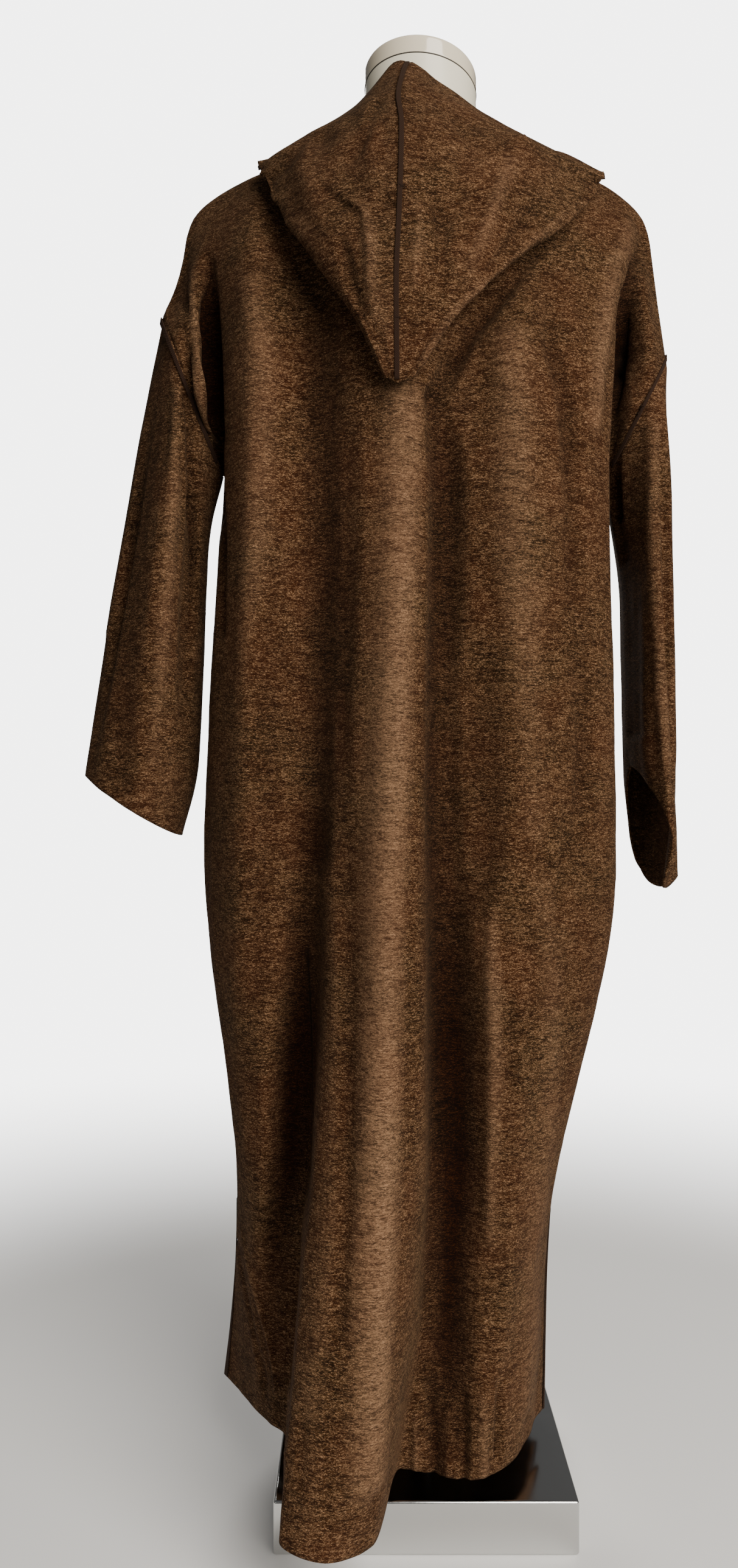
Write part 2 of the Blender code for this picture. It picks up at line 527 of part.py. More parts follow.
def build_body(wool, braid, planes):
    """The back and front panels, with the braid on their slits and neck slit."""
    slit_top = ARM_SHARE + (1.0 - ARM_SHARE) * (UNDERARM_Z - SHIN_Z) / (UNDERARM_Z - HEM_Z)
    rim = HALF_GAP * 1.6
    near, far = SLIT_BRAID
    for panel, lines, counts, turn in (
            ("back", BACK_LINES, (40, 10, 12, 6), -1.0), ("front", FRONT_LINES, (32, 9, 10, 5), 1.0)):
        surface = panel_surface(table(LINE_COLUMNS, lines), panel)
        columns, high, low, foot = counts
        between = [at for at in np.linspace(0.0, 1.0, columns + 1) if far + 0.006 < at < 1.0 - far - 0.006]
        ends = (rim, near, far, 1.0 - far, 1.0 - near, 1.0 - rim)
        down = np.concatenate((ARM_SHARE * np.linspace(0.0, 1.0, high + 1) ** 2,
                               np.linspace(ARM_SHARE, slit_top, low + 1)[1:],
                               np.linspace(slit_top, 1.0, foot + 1)[1:]))
        down[0] = SHOULDER_START
        slit = None
        if panel == "front":
            reach = NECK_SLIT_HALF + NECK_BRAID
            between = [at for at in between if abs(at - 0.5) > reach + 0.006]
            ends += (0.5 - reach, 0.5 - NECK_SLIT_HALF, 0.5 + NECK_SLIT_HALF, 0.5 + reach)
            first = sorted([*between, *ends]).index(0.5 - NECK_SLIT_HALF)
            slit = (first, first + 1, NECK_SLIT_ROWS)
            rows = np.array((0.5 * down[1], *down[1:NECK_SLIT_ROWS + 1], down[NECK_SLIT_ROWS] + 0.010))
            cloth("neck_braid", surface,
                  np.array((0.5 - reach, 0.4992 - NECK_SLIT_HALF, 0.5008 + NECK_SLIT_HALF, 0.5 + reach)),
                  rows, turn, braid, BRAID_WALL, BRAID_LIFT, slit=(1, 2, NECK_SLIT_ROWS))
        cloth(panel + "_panel", surface, np.array(sorted([*between, *ends])), down, turn, wool,
              slit=slit, edges=(("first", side_axis(planes["left"])), ("last", side_axis(planes["right"])),
                                ("top", shoulder_axis)))
        rows = np.array((*down[-foot - 1:-1], 0.999))
        for side, places in (("left", (near, far)), ("right", (1.0 - far, 1.0 - near))):
            cloth(f"slit_braid_{panel}_{side}", surface, np.array(places), rows,
                  turn, braid, BRAID_WALL, BRAID_LIFT)


def build_sleeves(wool, braid, sleeves, planes):
    """Each sleeve, with the double braid round its armhole seam."""
    for side, turn in (("left", -1.0), ("right", 1.0)):
        rings = sleeves[side]
        surface = sleeve_surface(rings, SLEEVE_FOLDS[side], CUFF_CORNER[side])
        down = np.concatenate(((0.0008, 0.026), np.linspace(0.0, 1.0, 13)[1:]))
        cloth("sleeve_" + side, surface, np.linspace(0.0, 1.0, 25), down, turn, wool,
              wrap=True, edges=(("top", fixed(planes[side])),))
        cloth("armhole_braid_" + side, surface, np.arange(-10, 11) / 24.0,
              np.array((0.006, 0.024)), turn, braid, BRAID_WALL, BRAID_LIFT)


def build_hood(wool, braid):
    """The two halves of the hood, and the braid over the crown seam between them."""
    rows = table(HOOD_COLUMNS, HOOD_ROWS)
    up = np.array(HOOD_ROW_STOPS, float)
    across = np.array(HOOD_COLUMN_STOPS, float)
    for side, turn in (("left", -1.0), ("right", 1.0)):
        shift = HALF_GAP if side == "left" else -HALF_GAP
        half = hood_surface(rows, side)

        def surface(places, heights, half=half, shift=shift):
            return half(places, heights) + X_AXIS * shift

        cloth("hood_" + side, surface, across, up, turn, wool, edges=(
            ("first", fixed(X_AXIS)), ("last", nape_axis)))

    def seam(places, heights):
        y = smooth(heights, rows["at"], rows["seam_y"])
        z = smooth(heights, rows["at"], rows["seam_z"])
        return points(HOOD_SEAM_X + (places - 0.5) * SEAM_BRAID_WIDE, y, z)

    cloth("hood_seam_braid", seam, np.array((0.0, 1.0)), np.linspace(0.01, 0.99, 15),
          -1.0, braid, BRAID_WALL, SEAM_BRAID_LIFT)


def build_form(cream, gloss, steel):
    """The limbless form, its neck cap, and the pole and base that carry it."""
    rings = table(TORSO_COLUMNS, TORSO_RINGS)
    places = np.linspace(0.0, 1.0, len(TORSO_RINGS))

    def torso(turn, down):
        ring = {name: smooth(down, places, rings[name]) for name in TORSO_COLUMNS}
        angle = 2.0 * math.pi * turn
        deep = np.where(np.sin(angle) >= 0.0, ring["back"], ring["front"])
        x, y = ring["wide"] * np.cos(angle), deep * np.sin(angle)
        out = np.hypot(x, y)
        grown = (1.0 + (NECK_R / out) ** NECK_BLEND) ** (1.0 / NECK_BLEND)
        x, y = x * grown, y * grown
        lean = np.clip((ring["z"] - NECK_FOOT_Z) / (CAP_SEAM_Z - NECK_FOOT_Z), 0.0, 1.0)
        return points(x, y, ring["z"] + lean * (CAP_TILT_Y * y + CAP_TILT_X * x))

    solid("form_torso", torso, TORSO_SIDES, places, cream)
    cap_profile = ((1.0, TOUCH_GAP), (1.0, CAP_HEIGHT - 0.0015), (0.985, CAP_HEIGHT - 0.0003),
                   (0.96, CAP_HEIGHT))

    def cap(turn, down):
        out, high = (smooth(down, np.linspace(0, 1, 4), column) for column in zip(*cap_profile))
        x = NECK_R * out * np.cos(2.0 * math.pi * turn)
        y = NECK_R * out * np.sin(2.0 * math.pi * turn)
        return points(x, y, CAP_SEAM_Z + high + CAP_TILT_Y * y + CAP_TILT_X * x)

    solid("neck_cap", cap, TORSO_SIDES, np.linspace(0.0, 1.0, 4), gloss)

    pole = bmesh.new()
    low, high = BASE_HEIGHT + TOUCH_GAP, TORSO_BOTTOM_Z - TOUCH_GAP
    bmesh.ops.create_cone(pole, cap_ends=True, segments=20, radius1=POLE_R, radius2=POLE_R, depth=high - low)
    bmesh.ops.translate(pole, verts=pole.verts[:], vec=(0.0, 0.0, 0.5 * (low + high)))
    finish("stand_pole", pole, steel)

    base = bmesh.new()
    bmesh.ops.create_cube(base, size=1.0)
    bmesh.ops.scale(base, verts=base.verts[:], vec=(BASE_SIDE, BASE_SIDE, BASE_HEIGHT))
    bmesh.ops.translate(base, verts=base.verts[:], vec=(0.0, 0.0, 0.5 * BASE_HEIGHT))
    bmesh.ops.bevel(base, geom=base.edges[:], offset=0.002, segments=2, profile=0.5,
                    affect="EDGES", material=-1)
    finish("stand_base", base, steel)


for old in list(bpy.data.objects):
    bpy.data.objects.remove(old)

sleeve_rings = {"left": table(SLEEVE_COLUMNS, SLEEVE_LEFT), "right": table(SLEEVE_COLUMNS, SLEEVE_RIGHT)}
armhole_planes = {side: armhole_plane(rings) for side, rings in sleeve_rings.items()}
wool_cloth = material("brushed_wool", WOOL, 0.95)
dark_braid = material("dark_braid", BRAID, 0.8)

build_body(wool_cloth, dark_braid, armhole_planes)
build_sleeves(wool_cloth, dark_braid, sleeve_rings, armhole_planes)
build_hood(wool_cloth, dark_braid)
build_form(material("form_cream", FORM_CREAM, 0.35), material("cap_gloss", CAP_GLOSS, 0.12),
           material("polished_steel", STEEL, 0.2, 1.0))
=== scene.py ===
"""Looks of the hooded djellaba robe on its dress form.

Metres, +Z up, floor at Z = 0. The robe's front faces -Y and its left side is +X, and the
photograph shows its back. Each piece of cloth is a thin shell on the form of its solid,
with its creases laid as soft troughs and ridges.
"""

import math

import bmesh
import bpy
import numpy as np
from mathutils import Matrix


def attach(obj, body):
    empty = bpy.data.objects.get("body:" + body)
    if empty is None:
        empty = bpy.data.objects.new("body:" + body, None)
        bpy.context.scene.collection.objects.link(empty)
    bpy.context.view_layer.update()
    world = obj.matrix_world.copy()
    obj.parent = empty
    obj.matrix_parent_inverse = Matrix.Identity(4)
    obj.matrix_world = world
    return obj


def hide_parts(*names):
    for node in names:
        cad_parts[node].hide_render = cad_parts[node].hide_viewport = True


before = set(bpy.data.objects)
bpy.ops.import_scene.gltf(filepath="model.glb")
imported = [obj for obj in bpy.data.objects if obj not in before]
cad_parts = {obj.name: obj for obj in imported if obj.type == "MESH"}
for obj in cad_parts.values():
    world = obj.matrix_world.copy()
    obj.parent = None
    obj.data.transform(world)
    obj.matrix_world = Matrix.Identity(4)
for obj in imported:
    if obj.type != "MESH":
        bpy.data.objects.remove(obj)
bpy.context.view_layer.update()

# ---- Camera, floor and light ----
# The camera looks level at the robe's back from 1.5 m, as the photograph does.
EYE = (0.058, 1.480, 0.780)
LENS_MM = 30.1
FLOOR_TONE = (0.95, 0.945, 0.93)
FLOOR_SIZE = 6.0
FLOOR_DROP = 0.0005           # the floor lies this far under the base
FLOOR_FADE = (0.75, 2.3)      # distances where the floor begins and ends to melt away

camera_data = bpy.data.cameras.new("camera")
camera_data.sensor_fit = "VERTICAL"
camera_data.sensor_height = 36.0
camera_data.lens = LENS_MM
camera = bpy.data.objects.new("camera", camera_data)
camera.location = EYE
camera.rotation_euler = (math.radians(90.0), 0.0, math.radians(180.0))
bpy.context.scene.collection.objects.link(camera)
bpy.context.scene.camera = camera

floor_mesh = bmesh.new()
bmesh.ops.create_grid(floor_mesh, x_segments=4, y_segments=4, size=FLOOR_SIZE)
floor_data = bpy.data.meshes.new("floor")
floor_mesh.to_mesh(floor_data)
floor_mesh.free()
floor = bpy.data.objects.new("floor", floor_data)
floor.location.z = -FLOOR_DROP
bpy.context.scene.collection.objects.link(floor)
floor_paint = bpy.data.materials.new("floor_paint")
floor_paint.use_nodes = True
floor_shader = floor_paint.node_tree.nodes["Principled BSDF"]
floor_shader.inputs["Base Color"].default_value = (*FLOOR_TONE, 1.0)
floor_shader.inputs["Roughness"].default_value = 0.9
floor_tree = floor_paint.node_tree
floor_spot = floor_tree.nodes.new("ShaderNodeTexCoord")
floor_reach = floor_tree.nodes.new("ShaderNodeVectorMath")
floor_reach.operation = "LENGTH"
floor_fade = floor_tree.nodes.new("ShaderNodeMapRange")
floor_fade.interpolation_type = "SMOOTHSTEP"
floor_fade.inputs["From Min"].default_value = FLOOR_FADE[0]
floor_fade.inputs["From Max"].default_value = FLOOR_FADE[1]
floor_fade.inputs["To Min"].default_value = 1.0
floor_fade.inputs["To Max"].default_value = 0.0
floor_tree.links.new(floor_spot.outputs["Object"], floor_reach.inputs[0])
floor_tree.links.new(floor_reach.outputs["Value"], floor_fade.inputs["Value"])
floor_tree.links.new(floor_fade.outputs["Result"], floor_shader.inputs["Alpha"])
floor_data.materials.append(floor_paint)

# A weak even light from all round, in front of a pale backdrop
FILL_STRENGTH = 0.11
BACKDROP_STRENGTH = 5.0
world = bpy.data.worlds.new("studio")
world.use_nodes = True
sky = world.node_tree
fill = sky.nodes["Background"]
fill.inputs["Color"].default_value = (1.0, 0.99, 0.98, 1.0)
fill.inputs["Strength"].default_value = FILL_STRENGTH
backdrop = sky.nodes.new("ShaderNodeBackground")
backdrop.inputs["Color"].default_value = (1.0, 0.995, 0.99, 1.0)
backdrop.inputs["Strength"].default_value = BACKDROP_STRENGTH
direct = sky.nodes.new("ShaderNodeLightPath")
either = sky.nodes.new("ShaderNodeMixShader")
sky.links.new(direct.outputs["Is Camera Ray"], either.inputs[0])
sky.links.new(fill.outputs[0], either.inputs[1])
sky.links.new(backdrop.outputs[0], either.inputs[2])
sky.links.new(either.outputs[0], sky.nodes["World Output"].inputs["Surface"])
bpy.context.scene.world = world

LIGHT_COLUMNS = ("name", "place", "aim", "size", "watts", "tone")
LIGHTS = (
    ("key_light", (-1.30, 2.6, 2.0), (0.0, 0.05, 0.80), 2.6, 166.0, (1.0, 0.95, 0.88)),
    ("side_light", (1.6, 2.8, 1.7), (0.0, 0.0, 0.8), 1.0, 3.0, (1.0, 0.96, 0.92)),
    ("front_light", (0.6, -3.0, 2.4), (0.0, 0.0, 0.9), 1.6, 55.0, (1.0, 0.97, 0.93)),
)
for row in LIGHTS:
    light = dict(zip(LIGHT_COLUMNS, row))
    lamp = bpy.data.lights.new(light["name"], "AREA")
    lamp.shape = "DISK"
    lamp.size = light["size"]
    lamp.energy = light["watts"]
    lamp.color = light["tone"]
    held = bpy.data.objects.new(light["name"], lamp)
    held.location = light["place"]
    aim = np.array(light["aim"]) - np.array(light["place"])
    across_floor = math.hypot(aim[0], aim[1])
    held.rotation_euler = (math.atan2(across_floor, -aim[2]), 0.0,
                           math.atan2(aim[1], aim[0]) - math.pi / 2)
    bpy.context.scene.collection.objects.link(held)

# ---- Cloth and braid materials ----
# Brushed wool of mixed brown fibres: short curled hairs that lie mostly level, softer
# patches a few millimetres wide, and a faint nap. The braid is a dark twisted cord.


class Value:
    """A shader value. Sums and products of values make Math nodes."""

    def __init__(self, tree, socket):
        self.tree = tree
        self.socket = socket

    def node(self, kind, inputs, output=0, **settings):
        """Any other node: its inputs by name or number, and the output to use."""
        made = self.tree.nodes.new(kind)
        for name, value in settings.items():
            setattr(made, name, value)
        for name, value in inputs.items():
            if isinstance(value, Value):
                self.tree.links.new(value.socket, made.inputs[name])
            else:
                made.inputs[name].default_value = value
        return Value(self.tree, made.outputs[output])

    def sum_of(self, kind, first, second):
        return self.node("ShaderNodeMath", {0: first, 1: second}, operation=kind)

    def __add__(self, other):
        return self.sum_of("ADD", self, other)

    def __radd__(self, other):
        return self.sum_of("ADD", other, self)

    def __sub__(self, other):
        return self.sum_of("SUBTRACT", self, other)

    def __rsub__(self, other):
        return self.sum_of("SUBTRACT", other, self)

    def __mul__(self, other):
        return self.sum_of("MULTIPLY", self, other)

    def __rmul__(self, other):
        return self.sum_of("MULTIPLY", other, self)

    def __pow__(self, other):
        return self.sum_of("POWER", self, other)

    def clamped(self):
        """The value held between 0 and 1."""
        return self.node("ShaderNodeClamp", {"Value": self})

    def blend(self, first, second):
        """Two colours mixed by this value."""
        return self.mixed(first, second, "MIX")

    def mixed(self, first, second, kind):
        return self.node("ShaderNodeMix", {"Factor": self, 6: first, 7: second}, 2,
                         data_type="RGBA", blend_type=kind)


SHEEN_TINT = (0.55, 0.34, 0.20, 1.0)


def new_material(name, roughness, sheen=0.0, metallic=0.0, coat=0.0, gloss=0.5):
    """A material, its shader, and the piece's own coordinates and strip coordinates."""
    made = bpy.data.materials.new(name)
    made.use_nodes = True
    tree = made.node_tree
    shader = tree.nodes["Principled BSDF"]
    shader.inputs["Roughness"].default_value = roughness
    shader.inputs["Metallic"].default_value = metallic
    shader.inputs["Sheen Weight"].default_value = sheen
    shader.inputs["Sheen Roughness"].default_value = 0.6
    shader.inputs["Sheen Tint"].default_value = SHEEN_TINT
    shader.inputs["Specular IOR Level"].default_value = gloss
    shader.inputs["Coat Weight"].default_value = coat
    given = tree.nodes.new("ShaderNodeTexCoord").outputs
    return made, shader, Value(tree, given["Object"]), Value(tree, given["UV"])


def noise(place, scale, detail=2.0, roughness=0.5, distortion=0.0, stretch=(1.0, 1.0, 1.0)):
    """Soft noise from 0 to 1, with scale in features to the metre."""
    laid = place.node("ShaderNodeMapping", {"Vector": place, "Scale": stretch})
    return place.node("ShaderNodeTexNoise", {
        "Vector": laid, "Scale": scale, "Detail": detail, "Roughness": roughness,
        "Distortion": distortion}, "Fac")


def spread(value, gain):
    """The same value with more contrast about its middle."""
    return ((value - 0.5) * gain + 0.5).clamped()


def put(value, socket):
    """A value led into a shader's socket."""
    value.tree.links.new(value.socket, socket)


def bumped(shader, height, distance, strength):
    """A height led into a shader's normal."""
    normal = height.node("ShaderNodeBump", {
        "Height": height, "Distance": distance, "Strength": strength}, "Normal")
    put(normal, shader.inputs["Normal"])


WOOL_DARK = (0.0045, 0.0012, 0.0003, 1.0)
WOOL_MID = (0.0430, 0.0172, 0.0056, 1.0)
WOOL_LIGHT = (0.400, 0.235, 0.125, 1.0)
WOOL_RED = (0.058, 0.0165, 0.0050, 1.0)
WOOL_OLIVE = (0.042, 0.025, 0.0072, 1.0)
# Painted highlight: this pale colour is laid on the wool along the crease ridges
WOOL_PAINTED_HIGHLIGHT = (0.360, 0.210, 0.120, 1.0)
# Painted shade: this colour is multiplied into the wool down in the crease troughs
WOOL_PAINTED_SHADE = (0.16, 0.085, 0.040, 1.0)
FIBRE_STRETCH = (0.50, 0.50, 1.50)
PATCH_STRETCH = (0.45, 0.45, 1.60)
THREAD_STRETCH = (0.28, 0.28, 1.80)
FLECK_SHARE = 0.62            # how far pale flecks cover the brown
PAINTED_HIGHLIGHT_SHARE = 0.74           # how far the ridges are painted pale as a highlight
BRAID_DARK = (0.0060, 0.0025, 0.0014, 1.0)
BRAID_LIGHT = (0.040, 0.0185, 0.0105, 1.0)
BRAID_TURNS = 260.0           # turns of thread to the metre


def wool_material():
    """Brushed melange wool whose fibres lie level. Its colour carries painted shade, darker down in
    the creases, and a painted highlight, paler along the ridges, set by the piece's own rise
    attribute."""
    made, shader, place, _ = new_material("wool", 0.95, sheen=0.06, gloss=0.08)
    fibres = noise(place, 620.0, 2.0, 0.50, 1.4, FIBRE_STRETCH)
    flecks = noise(place, 780.0, 1.0, 0.45, 1.8, FIBRE_STRETCH)
    curls = noise(place, 330.0, 2.0, 0.55, 1.3, FIBRE_STRETCH)
    threads = noise(place, 400.0, 2.0, 0.55, 0.6, THREAD_STRETCH)
    patches = noise(place, 80.0, 3.0, 0.60, 1.2, PATCH_STRETCH)
    clouds = noise(place, 14.0, 3.0, 0.5)
    tone = (spread(fibres, 7.0) * 0.40 + spread(curls, 5.0) * 0.14
            + spread(threads, 5.0) * 0.26 + spread(patches, 3.2) * 0.20)
    colour = spread(tone, 2.1).blend(WOOL_DARK, WOOL_MID)
    colour = (spread(clouds, 3.0) * 0.35).blend(colour, WOOL_RED)
    colour = (spread(1.0 - clouds, 3.4) * spread(patches, 2.0) * 0.30).blend(colour, WOOL_OLIVE)
    lit = spread(flecks - 0.06, 9.0) * spread(tone * 0.8 + patches * 0.2, 3.0)
    colour = (lit * FLECK_SHARE).blend(colour, WOOL_LIGHT)
    rise = place.node("ShaderNodeAttribute", {}, "Fac", attribute_name="rise")
    # Painted shade: below the middle of the rise attribute the wool is darkened towards the trough
    # floors
    low = (1.0 - rise * 2.0).clamped()
    high = (rise * 2.0 - 1.0).clamped()
    painted_shade = low.mixed(colour, WOOL_PAINTED_SHADE, "MULTIPLY")
    # Painted highlight: above the middle of the rise attribute the wool is made pale along the
    # ridges
    painted_highlight = (high * (tone * 0.95 + 0.05)).clamped()
    colour = (painted_highlight * PAINTED_HIGHLIGHT_SHARE).blend(painted_shade, WOOL_PAINTED_HIGHLIGHT)
    put(colour, shader.inputs["Base Color"])
    bumped(shader, fibres * 0.5 + flecks * 0.3 + curls * 0.5 + threads * 0.3, 0.0012, 0.8)
    return made


def braid_material():
    """Dark cord braid: slanted turns of thread along the strip."""
    made, shader, place, strip = new_material("braid", 0.85, sheen=0.06, gloss=0.15)
    turns = strip.node("ShaderNodeTexWave", {
        "Vector": strip, "Scale": BRAID_TURNS, "Distortion": 0.6, "Detail": 1.0}, "Fac",
        bands_direction="DIAGONAL")
    fuzz = noise(place, 1500.0, 2.0, 0.6)
    put((turns * 0.6 + fuzz * 0.4).blend(BRAID_DARK, BRAID_LIGHT), shader.inputs["Base Color"])
    bumped(shader, turns + fuzz * 0.5, 0.0006, 0.8)
    return made


paints = {"wool": wool_material(), "braid": braid_material()}
# ---- Back and front panels ----
# The two large panels hang from the shoulder line in long folds. Creases are read off
# the photograph as lines across the cloth's face, and each is a soft trough or ridge.

WALL = 0.0024             # brushed wool, with its nap
BRAID_WALL = 0.0012       # flat cord braid
BRAID_LIFT = 0.0017       # outer face of a braid above the cloth
STEP = 0.0005             # step used to find the slope of a surface

# Heights of the robe's key levels
UNDERARM_Z = 1.130
WAIST_Z = 0.690
SHIN_Z = 0.300
HEM_Z = 0.085
ARM_SHARE = 0.27          # share of a panel's rows above the underarm
CAP_REACH = 0.022         # share of the cut that rounds over beside the armhole

# Neckline: a ring with a short slit at the front
NECKLINE_R = 0.082
NECK_SIDE_Z = 1.500
NAPE_DROP = 0.005
FRONT_DROP = 0.045
NECK_SLIT_HALF = 0.006    # half width, as a share of the front panel's cut
NECK_SLIT_ROWS = 5        # rows of the front panel that the slit runs down
NECK_BRAID = 0.013        # width of its braid, as a share of the cut

# The shoulder line from the neck to the top of the armhole: distance from the middle,
# and height
SHOULDER = {
    "left": ((0.080, 1.500), (0.140, 1.480), (0.200, 1.457), (0.238, 1.436), (0.256, 1.418),
             (0.264, 1.397), (0.268, 1.372), (0.275, 1.345), (0.290, 1.307)),
    "right": ((0.080, 1.500), (0.140, 1.480), (0.200, 1.457), (0.230, 1.438), (0.250, 1.418),
              (0.258, 1.397), (0.263, 1.360), (0.269, 1.310), (0.275, 1.265)),
}

LINE_COLUMNS = ("cut", "x_top", "x_arm", "x_waist", "x_shin", "x_hem",
                "y_arm", "y_waist", "y_shin", "y_hem", "z_hem", "high", "low")

# Long lines of the back in thousandths, from the left seam to the right seam. cut is the
# place across the cloth. high and low are how far the line stands out a third and two
# thirds of the way down the armhole, and on a seam row high is half the armhole's depth.
BACK_LINES = (
    (0, 290, 222, 243, 206, 213, 0, 0, -10, -30, 100, 60, 60),
    (22, 276, 222, 242, 206, 209, 12, 14, 5, -14, 100, 45, 68),
    (56, 252, 220, 237, 204, 203, 34, 34, 26, 8, 100, 30, -4),
    (95, 226, 213, 226, 197, 191, 68, 64, 52, 38, 100, 16, 14),
    (185, 178, 177, 182, 166, 163, 112, 113, 95, 88, 100, 14, 14),
    (240, 150, 138, 136, 130, 145, 107, 102, 98, 112, 98, 12, 6),
    (390, 72, 87, 90, 123, 141, 130, 142, 212, 272, 82, 14, 10),
    (465, 30, 34, 30, 72, 100, 143, 170, 245, 292, 74, 14, 14),
    (525, -2, 4, -2, 30, 56, 134, 152, 225, 262, 72, 14, 10),
    (615, -56, -24, -28, -12, 26, 118, 120, 140, 143, 82, 12, 4),
    (730, -115, -94, -88, -82, -42, 132, 140, 144, 162, 80, 14, 14),
    (800, -150, -140, -136, -108, -76, 118, 120, 116, 147, 83, 14, 10),
    (905, -234, -202, -206, -135, -112, 66, 64, 60, 85, 88, 18, 12),
    (945, -250, -206, -214, -142, -124, 34, 34, 32, 48, 90, 26, -6),
    (978, -262, -208, -219, -144, -132, 14, 14, 14, 26, 90, 38, 26),
    (1000, -275, -208, -221, -145, -136, 0, 0, 0, 10, 90, 55, 55),
)

# Long lines of the plain front in thousandths, from the left seam to the right seam
FRONT_LINES = (
    (0, 290, 222, 243, 206, 213, 0, 0, -10, -30, 100, 60, 60),
    (45, 260, 220, 237, 203, 205, -28, -30, -32, -55, 100, 34, 16),
    (100, 224, 207, 224, 192, 190, -62, -62, -64, -90, 98, 16, 10),
    (240, 140, 140, 145, 128, 138, -112, -122, -132, -158, 92, 14, 10),
    (370, 78, 70, 76, 74, 78, -108, -108, -102, -112, 94, 12, 4),
    (500, 0, 4, 8, 12, 18, -120, -130, -146, -170, 88, 12, 10),
    (630, -78, -66, -62, -46, -38, -110, -110, -108, -118, 94, 12, 4),
    (760, -140, -130, -136, -98, -88, -114, -122, -132, -150, 92, 14, 10),
    (900, -220, -196, -204, -136, -130, -62, -62, -60, -78, 96, 16, 10),
    (955, -250, -207, -215, -142, -136, -28, -30, -30, -42, 96, 32, 14),
    (1000, -275, -208, -221, -145, -136, 0, 0, 0, 10, 90, 55, 55),
)

# How far each panel's edge swings away from the seam line at the foot of a side slit:
# panel, side, and the swing along X and Y
SLIT_SWING = (
    ("back", "left", 0.012, -0.002),
    ("back", "right", 0.001, 0.020),
    ("front", "left", -0.014, -0.018),
    ("front", "right", -0.006, -0.045),
)
SLIT_BRAID = (0.004, 0.014)   # where the slits' braid lies, from a panel's edge
SLIT_REACH = 0.10         # share of the cut over which the swing dies out

SLEEVE_COLUMNS = ("out_x", "out_z", "in_x", "in_z", "back", "front", "mid_y", "tilt")

# Rings of each sleeve in thousandths, from the armhole to the cuff: the outer and inner
# point, how deep the ring is behind and before its middle, and how much its front side
# hangs lower.
SLEEVE_LEFT = (
    (290, 1307, 222, 1130, 60, 60, 0, 0),
    (305, 1225, 238, 1066, 64, 66, 0, 0),
    (325, 1118, 244, 990, 70, 78, -2, 0),
    (347, 990, 248, 900, 72, 82, -4, 0),
    (366, 875, 252, 805, 70, 84, -6, 0),
    (379, 791, 271, 722, 72, 82, -8, 0),
)
SLEEVE_RIGHT = (
    (-275, 1265, -208, 1130, 55, 55, 0, 0),
    (-276, 1195, -218, 1070, 70, 74, -2, 60),
    (-277, 1080, -229, 990, 88, 90, -6, 160),
    (-280, 930, -233, 905, 94, 94, -10, 320),
    (-286, 790, -235, 848, 88, 92, -14, 480),
    (-294, 676, -239, 800, 80, 88, -18, 600),
)

# Long soft folds of the sleeves: turns from the outer edge, half width, how far each
# stands out, and the shares of the length where it starts and ends
SLEEVE_FOLDS = {
    "left": ((0.10, 0.045, -0.008, 0.10, 1.10), (0.27, 0.060, 0.007, -0.10, 0.80),
             (0.38, 0.045, -0.009, 0.05, 0.75), (0.66, 0.060, 0.009, 0.20, 1.20),
             (0.82, 0.050, -0.008, 0.00, 0.90)),
    "right": ((0.16, 0.050, 0.006, -0.10, 0.90), (0.22, 0.045, -0.009, 0.10, 1.10),
              (0.36, 0.055, 0.007, 0.20, 1.20), (0.62, 0.055, -0.009, 0.05, 0.95),
              (0.78, 0.060, 0.008, 0.20, 1.20)),
}

# The curled corner of the right cuff: turns from the outer edge, half width, how far it
# goes in and down, and the share of the length where it starts
CUFF_CORNER = {"left": None, "right": (0.11, 0.10, 0.018, -0.024, 0.76)}

X_AXIS = np.array((1.0, 0.0, 0.0))
Y_AXIS = np.array((0.0, 1.0, 0.0))


def table(columns, rows, parts=1000.0):
    """Rows of numbers, in parts of a unit, as one array for each named column."""
    return {name: np.array(values) / parts for name, values in zip(columns, zip(*rows))}


def smooth(at, knots, values):
    """A smooth curve through values at rising knots, which never overshoots them."""
    at = np.asarray(at, float)
    knots = np.asarray(knots, float)
    values = np.asarray(values, float)
    if values.ndim == 1:
        values = values.reshape((-1,) + (1,) * at.ndim)
    values = np.broadcast_to(values, (len(knots),) + at.shape)
    width = np.diff(knots).reshape((-1,) + (1,) * at.ndim)
    slope = np.diff(values, axis=0) / width
    before, after = slope[:-1], slope[1:]
    total = np.where(before + after == 0.0, 1.0, before + after)
    inner = np.where(before * after > 0.0, 2.0 * before * after / total, 0.0)
    lean = np.concatenate((slope[:1], inner, slope[-1:]))
    inside = np.clip(at, knots[0], knots[-1])
    span = np.clip(np.searchsorted(knots, inside, side="right") - 1, 0, len(knots) - 2)
    reach = knots[span + 1] - knots[span]
    t = (inside - knots[span]) / reach

    def pick(array, index):
        return np.take_along_axis(array, index[None], 0)[0]

    low, high = pick(values, span), pick(values, span + 1)
    start, end = pick(lean, span) * reach, pick(lean, span + 1) * reach
    rest = 1.0 - t
    return ((1 + 2 * t) * rest ** 2 * low + t ** 2 * (3 - 2 * t) * high
            + t * rest ** 2 * start - t ** 2 * rest * end)


def points(x, y, z):
    """One array of points from three arrays of coordinates."""
    return np.stack(np.broadcast_arrays(x, y, z), axis=-1).astype(float)


def unit(vectors):
    """Vectors at length one."""
    length = np.linalg.norm(vectors, axis=-1, keepdims=True)
    return vectors / np.maximum(length, 1e-12)


def bump(distance):
    """A soft rise from 0 at one unit away to 1 in the middle."""
    return 0.5 + 0.5 * np.cos(math.pi * np.clip(distance, -1.0, 1.0))


def neckline_height(y):
    """Height of the neckline ring, which dips at the nape and more at the throat."""
    across = np.clip(y / NECKLINE_R, -1.0, 1.0)
    return NECK_SIDE_Z - np.where(across > 0, NAPE_DROP, FRONT_DROP) * across ** 2


